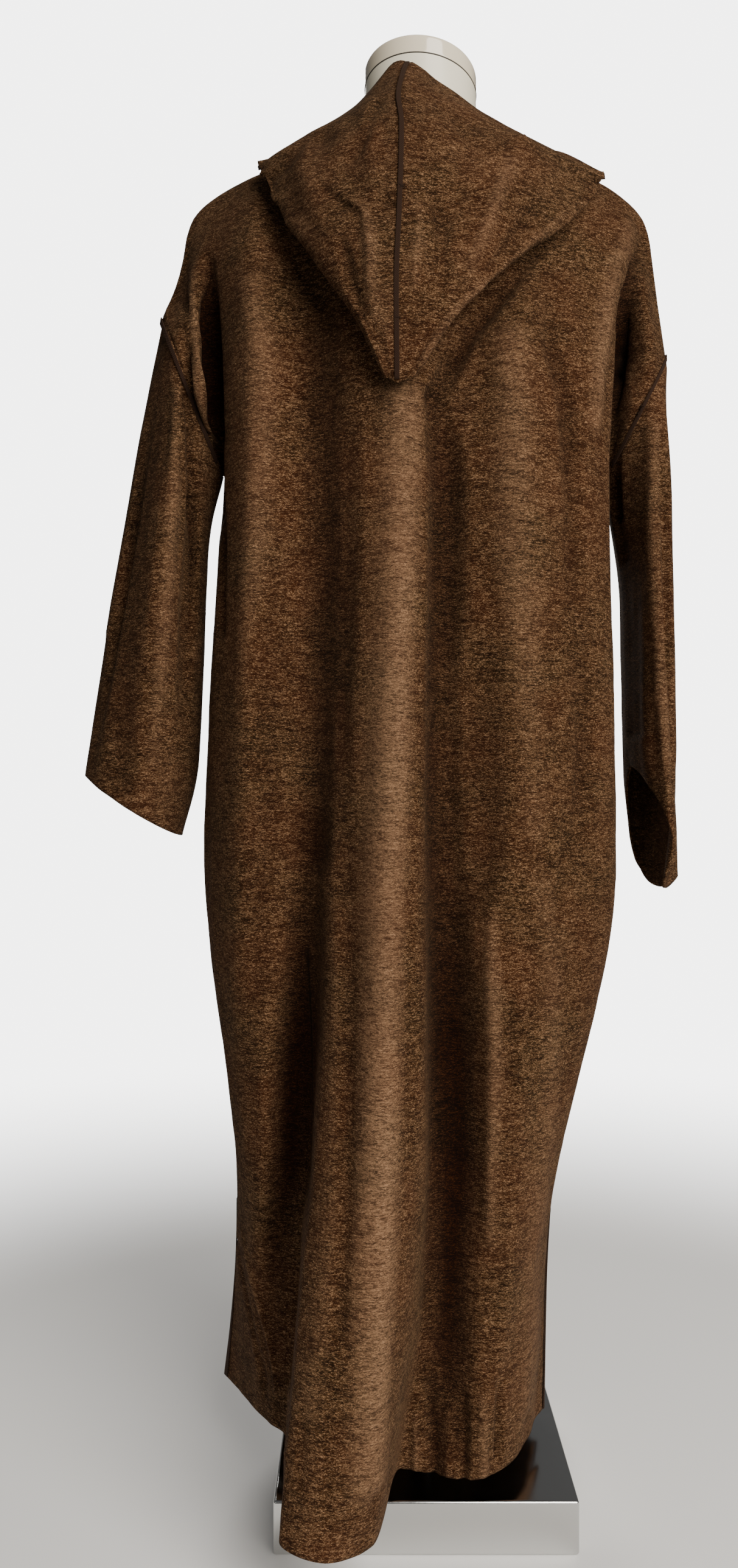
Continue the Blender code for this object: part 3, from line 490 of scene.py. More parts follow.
def panel_surface(lines, panel):
    """The outer face of the back or the front: cut place across, and place down."""
    side = 1.0 if panel == "back" else -1.0
    swings = [row for row in SLIT_SWING if row[0] == panel]

    def surface(cut, down):
        row = {name: smooth(cut, lines["cut"], lines[name]) for name in LINE_COLUMNS[1:]}
        out = np.abs(row["x_top"])
        y_top = side * np.sqrt(np.maximum(NECKLINE_R ** 2 - out ** 2, 0.0))
        slopes = [smooth(out, *zip(*SHOULDER[half])) for half in ("left", "right")]
        z_top = np.where(row["x_top"] > 0.0, slopes[0], slopes[1])
        z_top = np.where(out < NECKLINE_R, neckline_height(y_top), z_top)
        # Above the underarm
        t = np.clip(down / ARM_SHARE, 0.0, 1.0)
        from_seam = np.minimum(cut, 1.0 - cut)
        edge = np.clip(1.0 - from_seam / CAP_REACH, 0.0, 1.0)
        hang = 1.0 + np.clip(from_seam / CAP_REACH - 1.0, 0.0, 1.0)
        fall = np.sqrt(np.sin(0.5 * math.pi * t))
        round_edge = row["high"] * np.sqrt(np.maximum(np.sin(math.pi * t), 0.0))
        inner = row["high"] * bump((t - 0.30) / 0.30) + row["low"] * bump((t - 0.65) / 0.35)
        swell = edge * round_edge + (1.0 - edge) * inner
        x_high = row["x_arm"] + (row["x_top"] - row["x_arm"]) * (1.0 - t) ** hang
        y_high = y_top + (row["y_arm"] - y_top) * fall + side * swell
        z_high = z_top + (UNDERARM_Z - z_top) * t
        # Below the underarm
        h = np.clip((down - ARM_SHARE) / (1.0 - ARM_SHARE), 0.0, 1.0)
        levels = [(UNDERARM_Z - z) / (UNDERARM_Z - HEM_Z)
                  for z in (UNDERARM_Z, WAIST_Z, SHIN_Z, HEM_Z)]
        x_low = smooth(h, levels, [row[k] for k in ("x_arm", "x_waist", "x_shin", "x_hem")])
        y_low = smooth(h, levels, [row[k] for k in ("y_arm", "y_waist", "y_shin", "y_hem")])
        z_low = UNDERARM_Z + (row["z_hem"] - UNDERARM_Z) * h
        free = np.clip((h - levels[2]) / (1.0 - levels[2]), 0.0, 1.0) ** 2
        for _, where, swing_x, swing_y in swings:
            from_edge = cut if where == "left" else 1.0 - cut
            share = free * np.clip(1.0 - from_edge / SLIT_REACH, 0.0, 1.0) ** 2
            x_low = x_low + swing_x * share
            y_low = y_low + swing_y * share
        high = down < ARM_SHARE
        return points(np.where(high, x_high, x_low), np.where(high, y_high, y_low),
                      np.where(high, z_high, z_low))

    return surface


def sleeve_surface(rings, folds, corner):
    """The outer face of a sleeve: turns round from its outer edge, and place down."""
    stations = np.linspace(0.0, 1.0, len(rings["out_x"]))

    def surface(turn, down):
        ring = {name: smooth(down, stations, rings[name]) for name in SLEEVE_COLUMNS}
        angle = 2.0 * math.pi * turn
        t = 0.5 - 0.5 * np.cos(angle)
        behind = np.sin(angle) >= 0.0
        round_off = np.sqrt(np.maximum(np.sin(math.pi * t), 0.0))
        deep = np.where(behind, ring["back"], -ring["front"]) * round_off
        x = ring["out_x"] + (ring["in_x"] - ring["out_x"]) * t
        level = ring["out_z"] + (ring["in_z"] - ring["out_z"]) * t
        z = level + ring["tilt"] * np.minimum(deep, 0.0)
        away = np.sign(rings["out_x"][0])
        if corner:
            at, half, inward, downward, start = corner
            low = np.clip((down - start) / (1.0 - start), 0.0, 1.0) ** 1.5
            share = bump((turn - at) / half) * low
            x = x - away * inward * share
            z = z + downward * share
        for at, half, rise, start, end in folds:
            length = bump(2.0 * (down - start) / (end - start) - 1.0) * np.minimum(down / 0.08, 1.0)
            share = rise * length * bump((np.mod(turn - at + 0.5, 1.0) - 0.5) / half)
            x = x + share * away * np.cos(angle)
            deep = deep + share * np.sin(angle)
        return points(x, ring["mid_y"] + deep, z)

    return surface


NOISE_CELLS = 64
CREASE_PARTS = 10000.0    # tenths of a millimetre in a metre


def soft_noise(u, v, seed):
    """Smooth noise from -1 to 1 over two coordinates, one feature to the unit."""
    values = np.random.default_rng(seed).uniform(-1.0, 1.0, (NOISE_CELLS, NOISE_CELLS))
    cell_u, cell_v = np.floor(u).astype(int), np.floor(v).astype(int)
    part_u, part_v = u - cell_u, v - cell_v
    ease_u, ease_v = part_u ** 2 * (3 - 2 * part_u), part_v ** 2 * (3 - 2 * part_v)
    low, high = (values[(cell_u + i) % NOISE_CELLS, cell_v % NOISE_CELLS] * (1 - ease_v)
                 + values[(cell_u + i) % NOISE_CELLS, (cell_v + 1) % NOISE_CELLS] * ease_v
                 for i in (0, 1))
    return low * (1 - ease_u) + high * ease_u


def crease_height(spots, creases):
    """How far creases push each spot out. A crease is a line of (x, z, half width,
    height) stops in tenths of a millimetre, and one side may be narrower by a share."""
    flat = spots[..., (0, 2)]
    height = np.zeros(flat.shape[:-1])
    for stops, sharp in creases:
        stops = np.array(stops) / CREASE_PARTS
        best = np.full(flat.shape[:-1], np.inf)
        rise = np.zeros(flat.shape[:-1])
        for start, end in zip(stops[:-1], stops[1:]):
            along = end[:2] - start[:2]
            length = math.hypot(*along)
            share = np.clip(((flat - start[:2]) @ along) / length ** 2, 0.0, 1.0)
            near = start[:2] + share[..., None] * along
            away = flat - near
            side = np.sign(away[..., 0] * along[1] - away[..., 1] * along[0])
            width = (start[2] + share * (end[2] - start[2])) * np.where(side > 0, 1.0, sharp)
            distance = np.linalg.norm(away, axis=-1) / width
            here = distance < best
            best = np.where(here, distance, best)
            rise = np.where(here, start[3] + share * (end[3] - start[3]), rise)
        height += rise * bump(best)
    return height


def outward(surface, across, down, turn):
    """Directions that point out of the cloth at each place."""
    wide = surface(across + STEP, down) - surface(across - STEP, down)
    long = surface(across, down + STEP) - surface(across, down - STEP)
    return turn * unit(np.cross(wide, long))


def square_edge(spots, normals, axis):
    """Normals of an edge turned to stay in the seam's own plane, which axis stands on. At
    a corner, where the axis changes, they stay in both planes."""
    along = np.gradient(spots, axis=0)
    corner = np.flatnonzero(np.any(np.abs(np.diff(axis, axis=0)) > 0.01, axis=1))
    along[corner] = axis[corner + 1]
    flat = unit(np.cross(along, axis))
    keep = np.sum(flat * normals, axis=1, keepdims=True)
    return flat * np.where(keep < 0.0, -1.0, 1.0)


def laid_grid(outer, wrap):
    """A grid of faces laid on an array of points, and the grid place of each vertex."""
    rows, columns = outer.shape[:2]
    mesh = bmesh.new()
    bmesh.ops.create_grid(mesh, x_segments=columns - 1, y_segments=rows - 1, size=0.5)
    column = mesh.verts.layers.int.new("column")
    row = mesh.verts.layers.int.new("row")
    for vert in mesh.verts:
        vert[column] = round((vert.co.x + 0.5) * (columns - 1))
        vert[row] = round((vert.co.y + 0.5) * (rows - 1))
        vert.co = outer[vert[row], vert[column]]
    if wrap:
        ends = [vert for vert in mesh.verts if vert[column] in (0, columns - 1)]
        bmesh.ops.remove_doubles(mesh, verts=ends, dist=1e-5)
    return mesh, row, column


def finished(name, mesh, paint, node=None, sharp=None):
    """A piece from its mesh, in place of a node of the frame. Edges above sharp, in
    degrees, stay hard."""
    bmesh.ops.recalc_face_normals(mesh, faces=mesh.faces[:])
    data = bpy.data.meshes.new(name)
    mesh.to_mesh(data)
    mesh.free()
    if sharp is None:
        data.shade_smooth()
    else:
        data.set_sharp_from_angle(angle=math.radians(sharp))
    data.materials.append(paint)
    piece = bpy.data.objects.new(name, data)
    bpy.context.scene.collection.objects.link(piece)
    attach(piece, "root")
    if node:
        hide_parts(node)
    return piece


EDGE_SPOTS = {"first": np.s_[:, 0], "last": np.s_[:, -1], "top": np.s_[0, :]}
RISE_SPAN = 0.032         # from the deepest trough to the highest ridge in the wool's painted shade and painted highlight


def cloth(name, node, surface, across, down, turn, size, relief=None,
          wall=WALL, lift=0.0, wrap=False, edges=(), slit=None, slot="wool"):
    """A thin shell of cloth on a surface, with relief as the height of its creases at
    each spot, and its own coordinates in metres from size, its width and length."""
    across, down = np.meshgrid(across, down)
    outer = surface(across, down)
    normals = outward(surface, across, down, turn)
    if wrap:
        normals[:, -1] = normals[:, 0]
    for edge, axis in edges:
        spot = EDGE_SPOTS[edge]
        keep = np.linalg.norm(axis(outer[spot]), axis=1) > 0.5
        turned = square_edge(outer[spot], normals[spot], axis(outer[spot]))
        normals[spot] = np.where(keep[:, None], turned, normals[spot])
    height = np.zeros(across.shape) if relief is None else relief(outer, across, down)
    outer = outer + normals * (height + lift)[..., None]
    # The rise attribute, from the crease height, tells the wool where to paint shade in the troughs
    # and a highlight on the ridges
    rise = np.clip(0.5 + height / RISE_SPAN, 0.0, 1.0)
    inner = outer - normals * wall
    mesh, row, column = laid_grid(outer, wrap)
    if slit:
        low, high, last = slit
        gone = [face for face in mesh.faces
                if all(low <= vert[column] <= high and vert[row] <= last for vert in face.verts)]
        bmesh.ops.delete(mesh, geom=gone, context="FACES")
    risen = mesh.verts.layers.float.new("rise")
    for vert in mesh.verts:
        vert[risen] = rise[vert[row], vert[column]]
    strip = mesh.loops.layers.uv.new("strip")
    columns = across.shape[1]
    for face in mesh.faces:
        places = [vert[column] for vert in face.verts]
        over = wrap and max(places) - min(places) > 1
        for loop, at in zip(face.loops, places):
            at = columns - 1 if over and at == 0 else at
            line = loop.vert[row]
            loop[strip].uv = (across[line, at] * size[0], down[line, at] * size[1])
    made = bmesh.ops.extrude_face_region(mesh, geom=mesh.faces[:])
    for item in made["geom"]:
        if isinstance(item, bmesh.types.BMVert):
            item.co = inner[item[row], item[column]]
    return finished(name, mesh, paints[slot], node)


def braid(name, node, surface, across, down, turn, size, lift=BRAID_LIFT, slit=None):
    """A strip of flat braid that lies a little above the cloth's surface."""
    return cloth(name, node, surface, across, down, turn, size, None, BRAID_WALL, lift,
                 slit=slit, slot="braid")


def fixed(axis):
    """The same axis at every place of an edge."""
    return lambda spots: np.broadcast_to(axis, spots.shape)


def side_axis(plane):
    """Along a side edge: the armhole's plane above the underarm, and +Y below it."""
    return lambda spots: np.where(spots[:, 2:] > UNDERARM_Z - 0.001, plane, Y_AXIS)


def shoulder_axis(spots):
    """Along the shoulder line: +Y, and nothing along the neckline, which meets no panel."""
    return Y_AXIS * (np.abs(spots[:, :1]) > NECKLINE_R)


def nape_axis(spots):
    """Along the hood's inner edge: +X down the seam, and nothing along the neckline."""
    return X_AXIS * ((np.abs(spots[:, :1]) < 0.03) & (spots[:, 1:2] > 0.05))


def armhole_plane(rings):
    """The direction that stands on a sleeve's armhole plane."""
    wide = rings["in_x"][0] - rings["out_x"][0]
    long = rings["in_z"][0] - rings["out_z"][0]
    return unit(np.array((-long, 0.0, wide)))


sleeve_rings = {"left": table(SLEEVE_COLUMNS, SLEEVE_LEFT),
                "right": table(SLEEVE_COLUMNS, SLEEVE_RIGHT)}
armhole_planes = {side: armhole_plane(rings) for side, rings in sleeve_rings.items()}
slit_top = ARM_SHARE + (1.0 - ARM_SHARE) * (UNDERARM_Z - SHIN_Z) / (UNDERARM_Z - HEM_Z)

BACK_CREASES = (
    (((580, 1330, 283, 90), (550, 2030, 319, 110), (510, 2990, 346, 120), (460, 4090, 363, 120),
      (440, 4990, 369, 120), (400, 6500, 376, 110), (340, 7860, 379, 110), (310, 8960, 369, 100),
      (250, 10200, 371, 90), (220, 11070, 373, 80), (200, 11760, 360, 70)), 0.72),
    (((-90, 11810, 163, -50), (-180, 11380, 240, -110), (-230, 10900, 266, -130),
      (-210, 9860, 265, -130), (-160, 8850, 239, -110), (-160, 7840, 264, -120),
      (-190, 6840, 302, -120), (-250, 5840, 365, -150), (-290, 4840, 389, -170),
      (-310, 3860, 387, -170), (-260, 2890, 385, -160), (-220, 1910, 359, -140),
      (-200, 1070, 308, -90)), 1.0),
    (((-860, 12340, 312, 50), (-890, 11350, 325, 50), (-880, 10350, 313, 40),
      (-1010, 9340, 312, 30), (-1080, 8340, 287, 20), (-1070, 7360, 275, 20)), 1.0),
    (((-1310, 12780, 139, -40), (-1300, 12310, 151, -60), (-1470, 11840, 164, -70),
      (-1530, 11160, 165, -70), (-1550, 10270, 165, -60), (-1560, 9640, 165, -40)), 1.0),
    (((1160, 12540, 292, -60), (1070, 11760, 379, -90), (1030, 10870, 429, -100),
      (1030, 9870, 428, -110), (1070, 8850, 416, -110), (1130, 7860, 380, -100),
      (1160, 7090, 317, -80)), 1.0),
    (((1600, 9630, 382, -20), (1650, 8730, 382, -40), (1650, 7710, 356, -50),
      (1680, 6780, 318, -50), (1780, 5830, 254, -40), (1840, 4840, 218, -40),
      (1780, 3990, 193, -30)), 1.0),
    (((1850, 13030, 217, 30), (1730, 12400, 253, 40), (1710, 11400, 267, 50),
      (1770, 10510, 267, 40), (1850, 9640, 241, 30), (1870, 8620, 216, 20), (1890, 7720, 191, 10)),
      1.0),
    (((2360, 13500, 133, -90), (2340, 13050, 146, -150), (2300, 12520, 134, -170),
      (2240, 11990, 107, -170), (2240, 11390, 88, -130), (2170, 10340, 79, -80),
      (2180, 9410, 78, -50)), 1.0),
    (((2500, 13470, 120, 30), (2480, 12890, 119, 60), (2390, 12010, 104, 60),
      (2310, 11540, 80, 30)), 1.0),
    (((1230, 7330, 294, -50), (1260, 6320, 307, -110), (1320, 5280, 320, -150),
      (1390, 4520, 308, -170), (1420, 3730, 295, -160), (1560, 2970, 270, -110),
      (1620, 2180, 232, -60), (1660, 1450, 181, -30)), 1.0),
    (((870, 6620, 186, 10), (890, 5400, 207, 20), (920, 4500, 203, 20), (950, 3630, 211, 20),
      (1050, 2760, 196, 20), (1100, 1950, 170, 20)), 1.0),
    (((770, 11460, 162, -20), (790, 10210, 162, -30), (850, 8660, 162, -40), (830, 7100, 161, -30),
      (800, 5890, 135, -30), (790, 4750, 131, -30), (810, 3650, 117, -30), (870, 2600, 103, -30)),
      1.0),
    (((-670, 6470, 125, 30), (-690, 5610, 137, 60), (-700, 4860, 137, 60), (-660, 4000, 124, 50),
      (-650, 3130, 112, 30)), 1.0),
    (((-880, 5600, 81, -30), (-890, 5120, 87, -40), (-880, 4630, 81, -30)), 1.0),
    (((-1230, 6710, 226, 20), (-1300, 5820, 215, 30), (-1310, 4930, 203, 30),
      (-1240, 3900, 216, 30), (-1100, 2760, 216, 30), (-1120, 1670, 219, 40),
      (-1040, 1290, 178, 30)), 1.0),
    (((-570, 8970, 314, -20), (-600, 8050, 376, -40), (-630, 7220, 313, -40),
      (-510, 6590, 251, -40)), 1.0),
    (((-1620, 9120, 191, -30), (-1690, 8350, 192, -60), (-1650, 7610, 179, -60),
      (-1550, 7090, 140, -30)), 1.0),
    (((-1480, 7860, 57, -20), (-1450, 7090, 63, -30), (-1380, 6450, 57, -20)), 1.0),
    (((1720, 13830, 130, -20), (1390, 13260, 154, -40), (1130, 12820, 153, -50),
      (870, 12340, 137, -40), (610, 11950, 99, -20)), 1.0),
    (((-1190, 13340, 102, -50), (-840, 12910, 126, -100), (-500, 12530, 151, -120),
      (-290, 12170, 164, -120), (-110, 11790, 151, -70)), 1.0),
    (((-30, 1650, 74, -40), (-50, 1270, 80, -70), (-70, 840, 80, -90)), 1.0),
    (((-210, 1530, 74, 30), (-220, 860, 80, 60)), 1.0),
    (((-380, 1610, 68, -40), (-390, 1200, 74, -70), (-380, 830, 73, -90)), 1.0),
    (((-570, 1580, 68, 30), (-570, 860, 74, 60)), 1.0),
    (((-760, 1730, 68, -40), (-730, 1000, 68, -70)), 1.0),
    (((100, 1340, 62, 30), (100, 850, 62, 50)), 1.0),
    (((1980, 2920, 47, 20), (1800, 2410, 52, 40), (1640, 1760, 52, 40), (1560, 1360, 51, 30),
      (1340, 1530, 46, 20)), 1.0),
    (((2060, 2660, 48, -20), (1930, 2240, 53, -30), (1780, 1680, 52, -30), (1690, 1280, 52, -20)),
      1.0),
    (((2660, 13600, 55, -30), (2580, 12880, 60, -60), (2540, 12340, 59, -70),
      (2460, 11930, 53, -50)), 1.0),
    (((-2540, 14020, 164, -40), (-2300, 13440, 240, -110), (-2140, 12930, 277, -150),
      (-2140, 12520, 257, -160), (-2070, 12000, 174, -130), (-2050, 11520, 120, -80)), 0.16),
    (((-2310, 13970, 162, 30), (-2050, 13340, 183, 60), (-1910, 12760, 181, 70),
      (-1820, 12200, 167, 70), (-1790, 11570, 154, 50)), 1.0),
    (((360, 1550, 47, -20), (380, 910, 48, -30)), 1.0),
    (((930, 1670, 56, -20), (970, 1090, 56, -30)), 1.0),
    (((1180, 2020, 57, -20), (1220, 1330, 67, -30)), 1.0),
)

FRONT_CREASES = (
    (((1050, 13300, 450, -20), (950, 10500, 500, -60), (920, 7000, 480, -90),
      (1000, 3500, 500, -100), (1050, 800, 420, -70)), 0.75),
    (((400, 11000, 400, 20), (460, 8000, 400, 50), (440, 4500, 420, 70), (500, 1000, 380, 60)),
      1.0),
    (((-120, 10200, 300, -20), (-80, 7000, 340, -50), (-140, 4000, 360, -80),
      (-180, 800, 340, -70)), 1.0),
    (((-660, 11200, 400, 20), (-620, 7500, 420, 50), (-720, 4000, 440, 70), (-760, 800, 380, 50)),
      0.8),
    (((-1180, 13300, 420, -30), (-1120, 10000, 460, -70), (-1200, 6200, 460, -80),
      (-1220, 3000, 440, -60), (-1240, 1000, 360, -30)), 1.0),
    (((1650, 13000, 200, -40), (1720, 11800, 180, -80), (1780, 10600, 140, -60)), 0.7),
    (((-1800, 13000, 200, -40), (-1860, 11800, 180, -80), (-1900, 10600, 140, -60)), 0.7),
    (((200, 12600, 140, -10), (500, 12000, 180, -30), (850, 11600, 160, -10)), 1.0),
    (((-220, 12500, 140, -10), (-560, 11800, 180, -30), (-900, 11300, 160, -10)), 1.0),
    (((1400, 5200, 260, 30), (1500, 3000, 280, 50), (1520, 1200, 240, 30)), 1.0),
)


def seam_fade(across, reach=0.018):
    """0 on a panel's side seams, 1 away from them."""
    from_seam = np.minimum(across, 1.0 - across)
    return 1.0 - bump(from_seam / reach)


def panel_relief(creases, seed, size):
    """Creases and slight unevenness of a panel, with its seams drawn in a little."""

    def relief(spots, across, down):
        u, v = across * size[0], down * size[1]
        uneven = (0.0011 * soft_noise(u / 0.055, v / 0.16, seed)
                  + 0.0005 * soft_noise(u / 0.022 + 7, v / 0.05 + 3, seed + 1)
                  + 0.00025 * soft_noise(u / 0.009 + 5, v / 0.014 + 9, seed + 2))
        open_side = np.clip((down - slit_top) / 0.03, 0.0, 1.0)
        fade = np.maximum(seam_fade(across), open_side) * np.clip(down / 0.02, 0.0, 1.0)
        drawn = 0.0012 * (1.0 - seam_fade(across, 0.006)) * (1.0 - open_side)
        return (crease_height(spots, creases) + uneven) * fade - drawn

    return relief


# Each panel's lines, width and length, area, which tapers to the shoulders, counts of
# faces, creases, seed and the way it turns
PANELS = {
    "back": (BACK_LINES, (0.80, 1.43), 0.93, (180, 270), BACK_CREASES, 11, -1.0),
    "front": (FRONT_LINES, (0.72, 1.38), 0.84, (150, 220), FRONT_CREASES, 23, 1.0),
}
CLOSE_ROWS = 40           # rows that lie closer together at the shoulder line
STRIP_POINTS = 7          # points across a narrow strip of braid
for panel, (lines, size, area, counts, creases, seed, turn) in PANELS.items():
    surface = panel_surface(table(LINE_COLUMNS, lines), panel)
    across = np.linspace(0.0, 1.0, counts[0] + 1)
    down = np.linspace(0.0, 1.0, counts[1] + 1)
    down[:CLOSE_ROWS] = down[CLOSE_ROWS] * np.linspace(0.0, 1.0, CLOSE_ROWS + 1)[:-1] ** 1.5
    slit = None
    if panel == "front":
        reach = NECK_SLIT_HALF + NECK_BRAID
        across = across[np.abs(across - 0.5) > NECK_SLIT_HALF + 0.001]
        across = np.sort(np.append(across, (0.5 - NECK_SLIT_HALF, 0.5 + NECK_SLIT_HALF)))
        first = int(np.searchsorted(across, 0.5 - NECK_SLIT_HALF))
        depth = ARM_SHARE * (NECK_SLIT_ROWS / 9.0) ** 2
        last = int(np.argmin(np.abs(down - depth)))
        slit = (first, first + 1, last)
        rows = np.array((0.5 * down[1], *down[1:last + 1], down[last] + 0.010))
        braid_across = np.concatenate((
            np.linspace(0.5 - reach, 0.4992 - NECK_SLIT_HALF, STRIP_POINTS),
            np.linspace(0.5008 + NECK_SLIT_HALF, 0.5 + reach, STRIP_POINTS)))
        braid("neck_braid_strip", "neck_braid", surface, braid_across, rows, turn,
                           size, slit=(STRIP_POINTS - 1, STRIP_POINTS, last))
    cloth(
        panel + "_cloth", panel + "_panel", surface, across, down, turn, size,
        panel_relief(creases, seed, size), slit=slit,
        edges=(("first", side_axis(armhole_planes["left"])),
               ("last", side_axis(armhole_planes["right"])), ("top", shoulder_axis)))
    near, far = SLIT_BRAID
    for side, places in (("left", (near, far)), ("right", (1.0 - far, 1.0 - near))):
        braid(f"slit_{panel}_{side}", f"slit_braid_{panel}_{side}", surface,
                           np.linspace(*places, STRIP_POINTS),
                           np.linspace(slit_top, 0.999, 80), turn, size)

# ---- Sleeves ----
# Wide straight sleeves on dropped armholes, with dark braid over each armhole seam.
SLEEVE_SIZE = (0.44, 0.56)
SLEEVE_SEAM = 0.05        # share of the length with rows close together at the armhole
STRIP_DOWN = (0.006, 0.024)   # where the armhole braid lies, in shares of the length
strips = {}
SLEEVE_CREASES_LEFT = (
    (((2620, 12330, 53, -20), (2520, 11680, 59, -60), (2510, 11050, 60, -70),
      (2510, 10410, 60, -70), (2530, 9740, 61, -60), (2580, 9060, 60, -40), (2620, 8390, 60, -20)),
      1.0),
    (((2920, 12890, 204, -40), (2940, 11700, 265, -70), (3110, 10700, 305, -80),
      (3200, 9700, 304, -80), (3260, 8710, 290, -70), (3290, 7780, 263, -60)), 1.0),
    (((2660, 12070, 92, 30), (2690, 11000, 105, 50), (2750, 10020, 118, 50), (2840, 9040, 118, 40),
      (2930, 8050, 106, 20)), 1.0),
    (((2510, 10920, 67, -30), (2530, 10410, 81, -40), (2590, 9730, 81, -40), (2630, 9060, 80, -30),
      (2680, 8380, 67, -20)), 1.0),
    (((3540, 9420, 82, -20), (3620, 8530, 81, -30)), 1.0),
)

SLEEVE_CREASES_RIGHT = (
    (((-2240, 11630, 60, -60), (-2110, 11370, 61, -80), (-2170, 10750, 55, -80)), 1.0),
    (((-2340, 11820, 159, -20), (-2290, 11040, 172, -20), (-2300, 10270, 174, -30),
      (-2340, 9410, 148, -30), (-2390, 8380, 120, -30)), 1.0),
    (((-2500, 11670, 92, 30), (-2440, 10660, 104, 40), (-2470, 9670, 104, 40),
      (-2540, 8700, 91, 30), (-2660, 7720, 66, 20)), 1.0),
    (((-2160, 11460, 54, -30), (-2160, 10810, 55, -40), (-2250, 10280, 55, -30)), 1.0),
)


def sleeve_relief(seed, creases):
    """Creases and slight unevenness of a sleeve, drawn in at its armhole."""

    def relief(spots, across, down):
        angle = 2.0 * math.pi * across
        u, v = 3.0 + np.cos(angle), down * SLEEVE_SIZE[1]
        w = 3.0 + np.sin(angle)
        uneven = (0.0013 * soft_noise(u / 0.6, v / 0.12, seed)
                  + 0.0013 * soft_noise(w / 0.6, v / 0.10, seed + 1)
                  + 0.0005 * soft_noise(u / 0.25 + v / 0.05, w / 0.25, seed + 2))
        behind = np.clip(4.0 * np.sin(angle), 0.0, 1.0)
        laid = crease_height(spots, creases) * behind
        return (uneven + laid) * np.clip(down / 0.05, 0.0, 1.0) - 0.0012 * bump(down / 0.012)

    return relief


for side, turn, seed, creases in (("left", -1.0, 31, SLEEVE_CREASES_LEFT),
                                 ("right", 1.0, 47, SLEEVE_CREASES_RIGHT)):
    surface = sleeve_surface(sleeve_rings[side], SLEEVE_FOLDS[side], CUFF_CORNER[side])
    down = np.concatenate((np.linspace(0.0, SLEEVE_SEAM, 10),
                           np.linspace(SLEEVE_SEAM, 1.0, 120)[1:]))
    piece = cloth("sleeve_cloth_" + side, "sleeve_" + side, surface, np.linspace(0.0, 1.0, 121),
                  down, turn, SLEEVE_SIZE, sleeve_relief(seed, creases), wrap=True,
                  edges=(("top", fixed(armhole_planes[side])),))
    strips[side] = braid("armhole_strip_" + side, "armhole_braid_" + side, surface,
                         np.linspace(-10.0, 10.0, 161) / 24.0, np.linspace(*STRIP_DOWN, 9),
                         turn, SLEEVE_SIZE)

# ---- Hood ----
# A pointed hood folded back over the shoulders: two halves, each doubled over at its
# outer edge, joined down the crown by a seam under dark braid.
# Soft dents and ridges of the hood: half, place across, place up, half widths, depth
HOOD_FOLDS = (
    ("left", 0.10, 0.72, 0.055, 0.40, 0.006), ("left", 0.24, 0.74, 0.06, 0.14, -0.010),
    ("left", 0.33, 0.60, 0.06, 0.30, 0.006), ("right", 0.14, 0.55, 0.05, 0.35, -0.006),
    ("right", 0.26, 0.78, 0.05, 0.22, 0.008), ("right", 0.36, 0.72, 0.05, 0.25, -0.007),
)

HOOD_COLUMNS = ("at", "seam_y", "seam_z", "left_x", "left_y", "left_z",
                "right_x", "right_y", "right_z", "mid_y", "rise", "end_y", "end_z", "sag")

# Rows of the hood in thousandths, from its point up to the brim. Each runs from the
# crown seam out to the folded edge of a side, and back in to the nape or round to the
# neckline.
HOOD_ROWS = (
    (0, 172, 1180, 42, 168, 1186, 14, 168, 1186, 164, 0, 160, 1192, 0),
    (160, 190, 1240, 70, 172, 1240, -22, 172, 1240, 162, 0, 159, 1245, 0),
    (320, 198, 1302, 108, 158, 1300, -78, 158, 1300, 158, 0, 158, 1305, 0),
    (500, 192, 1372, 146, 124, 1362, -150, 124, 1362, 146, -6, 150, 1376, 0),
    (580, 182, 1408, 158, 107, 1388, -168, 107, 1383, 132, -22, 136, 1440, 0),
    (630, 175, 1429, 165, 96, 1404, -179, 96, 1396, 119, -32, 102, 1488, 0),
    (660, 170, 1442, 169, 90, 1414, -184, 90, 1404, 112, -40, 84, 1496, 0),
    (830, 130, 1502, 176, 74, 1438, -193, 74, 1426, 50, -2, 0, 1500, -6),
    (1000, 78, 1553, 179, 58, 1447, -197, 58, 1436, -30, 10, -82, 1456, -10),
)
HOOD_SEAM_X = 0.028
HOOD_CLEAR = 0.008        # least height of the hood's underside above the panels
BACK_DEPTH = 0.164        # how far each panel reaches from the shoulder line at the underarm
FRONT_DEPTH = 0.140
HOOD_NAPE_AT = 0.66       # row that ends at the nape
NECK_GAP = 0.0023         # between the hood's edge and the neckline under it
HOOD_FRONT_TURN = 172.0   # degrees round the neckline from the nape to the front edge
HOOD_ROLL = 0.012         # half thickness of the rolled lower edge
HOOD_SWELL = 0.004        # how far each half stands out between the seam and its fold

HOOD_SIZE = (0.42, 0.40)
HOOD_CREASES_LEFT = (
    (((1110, 13880, 62, -10), (950, 13670, 73, -30), (830, 13540, 85, -50), (700, 13440, 72, -20)),
      1.0),
    (((770, 13580, 60, 20), (630, 13460, 96, 40), (580, 13100, 143, 50), (570, 12750, 143, 40),
      (530, 12350, 108, 20)), 0.7),
    (((860, 13170, 96, -20), (770, 12800, 108, -50), (670, 12440, 84, -30)), 1.0),
    (((1230, 14560, 127, -30), (1450, 14250, 152, -40), (1650, 14150, 116, -20)), 1.0),
    (((490, 14750, 99, -30), (630, 14310, 110, -40), (760, 14050, 98, -30)), 1.0),
    (((310, 13470, 48, -20), (400, 13530, 60, -40), (510, 13570, 60, -30), (620, 13550, 48, -10)),
      1.0),
)

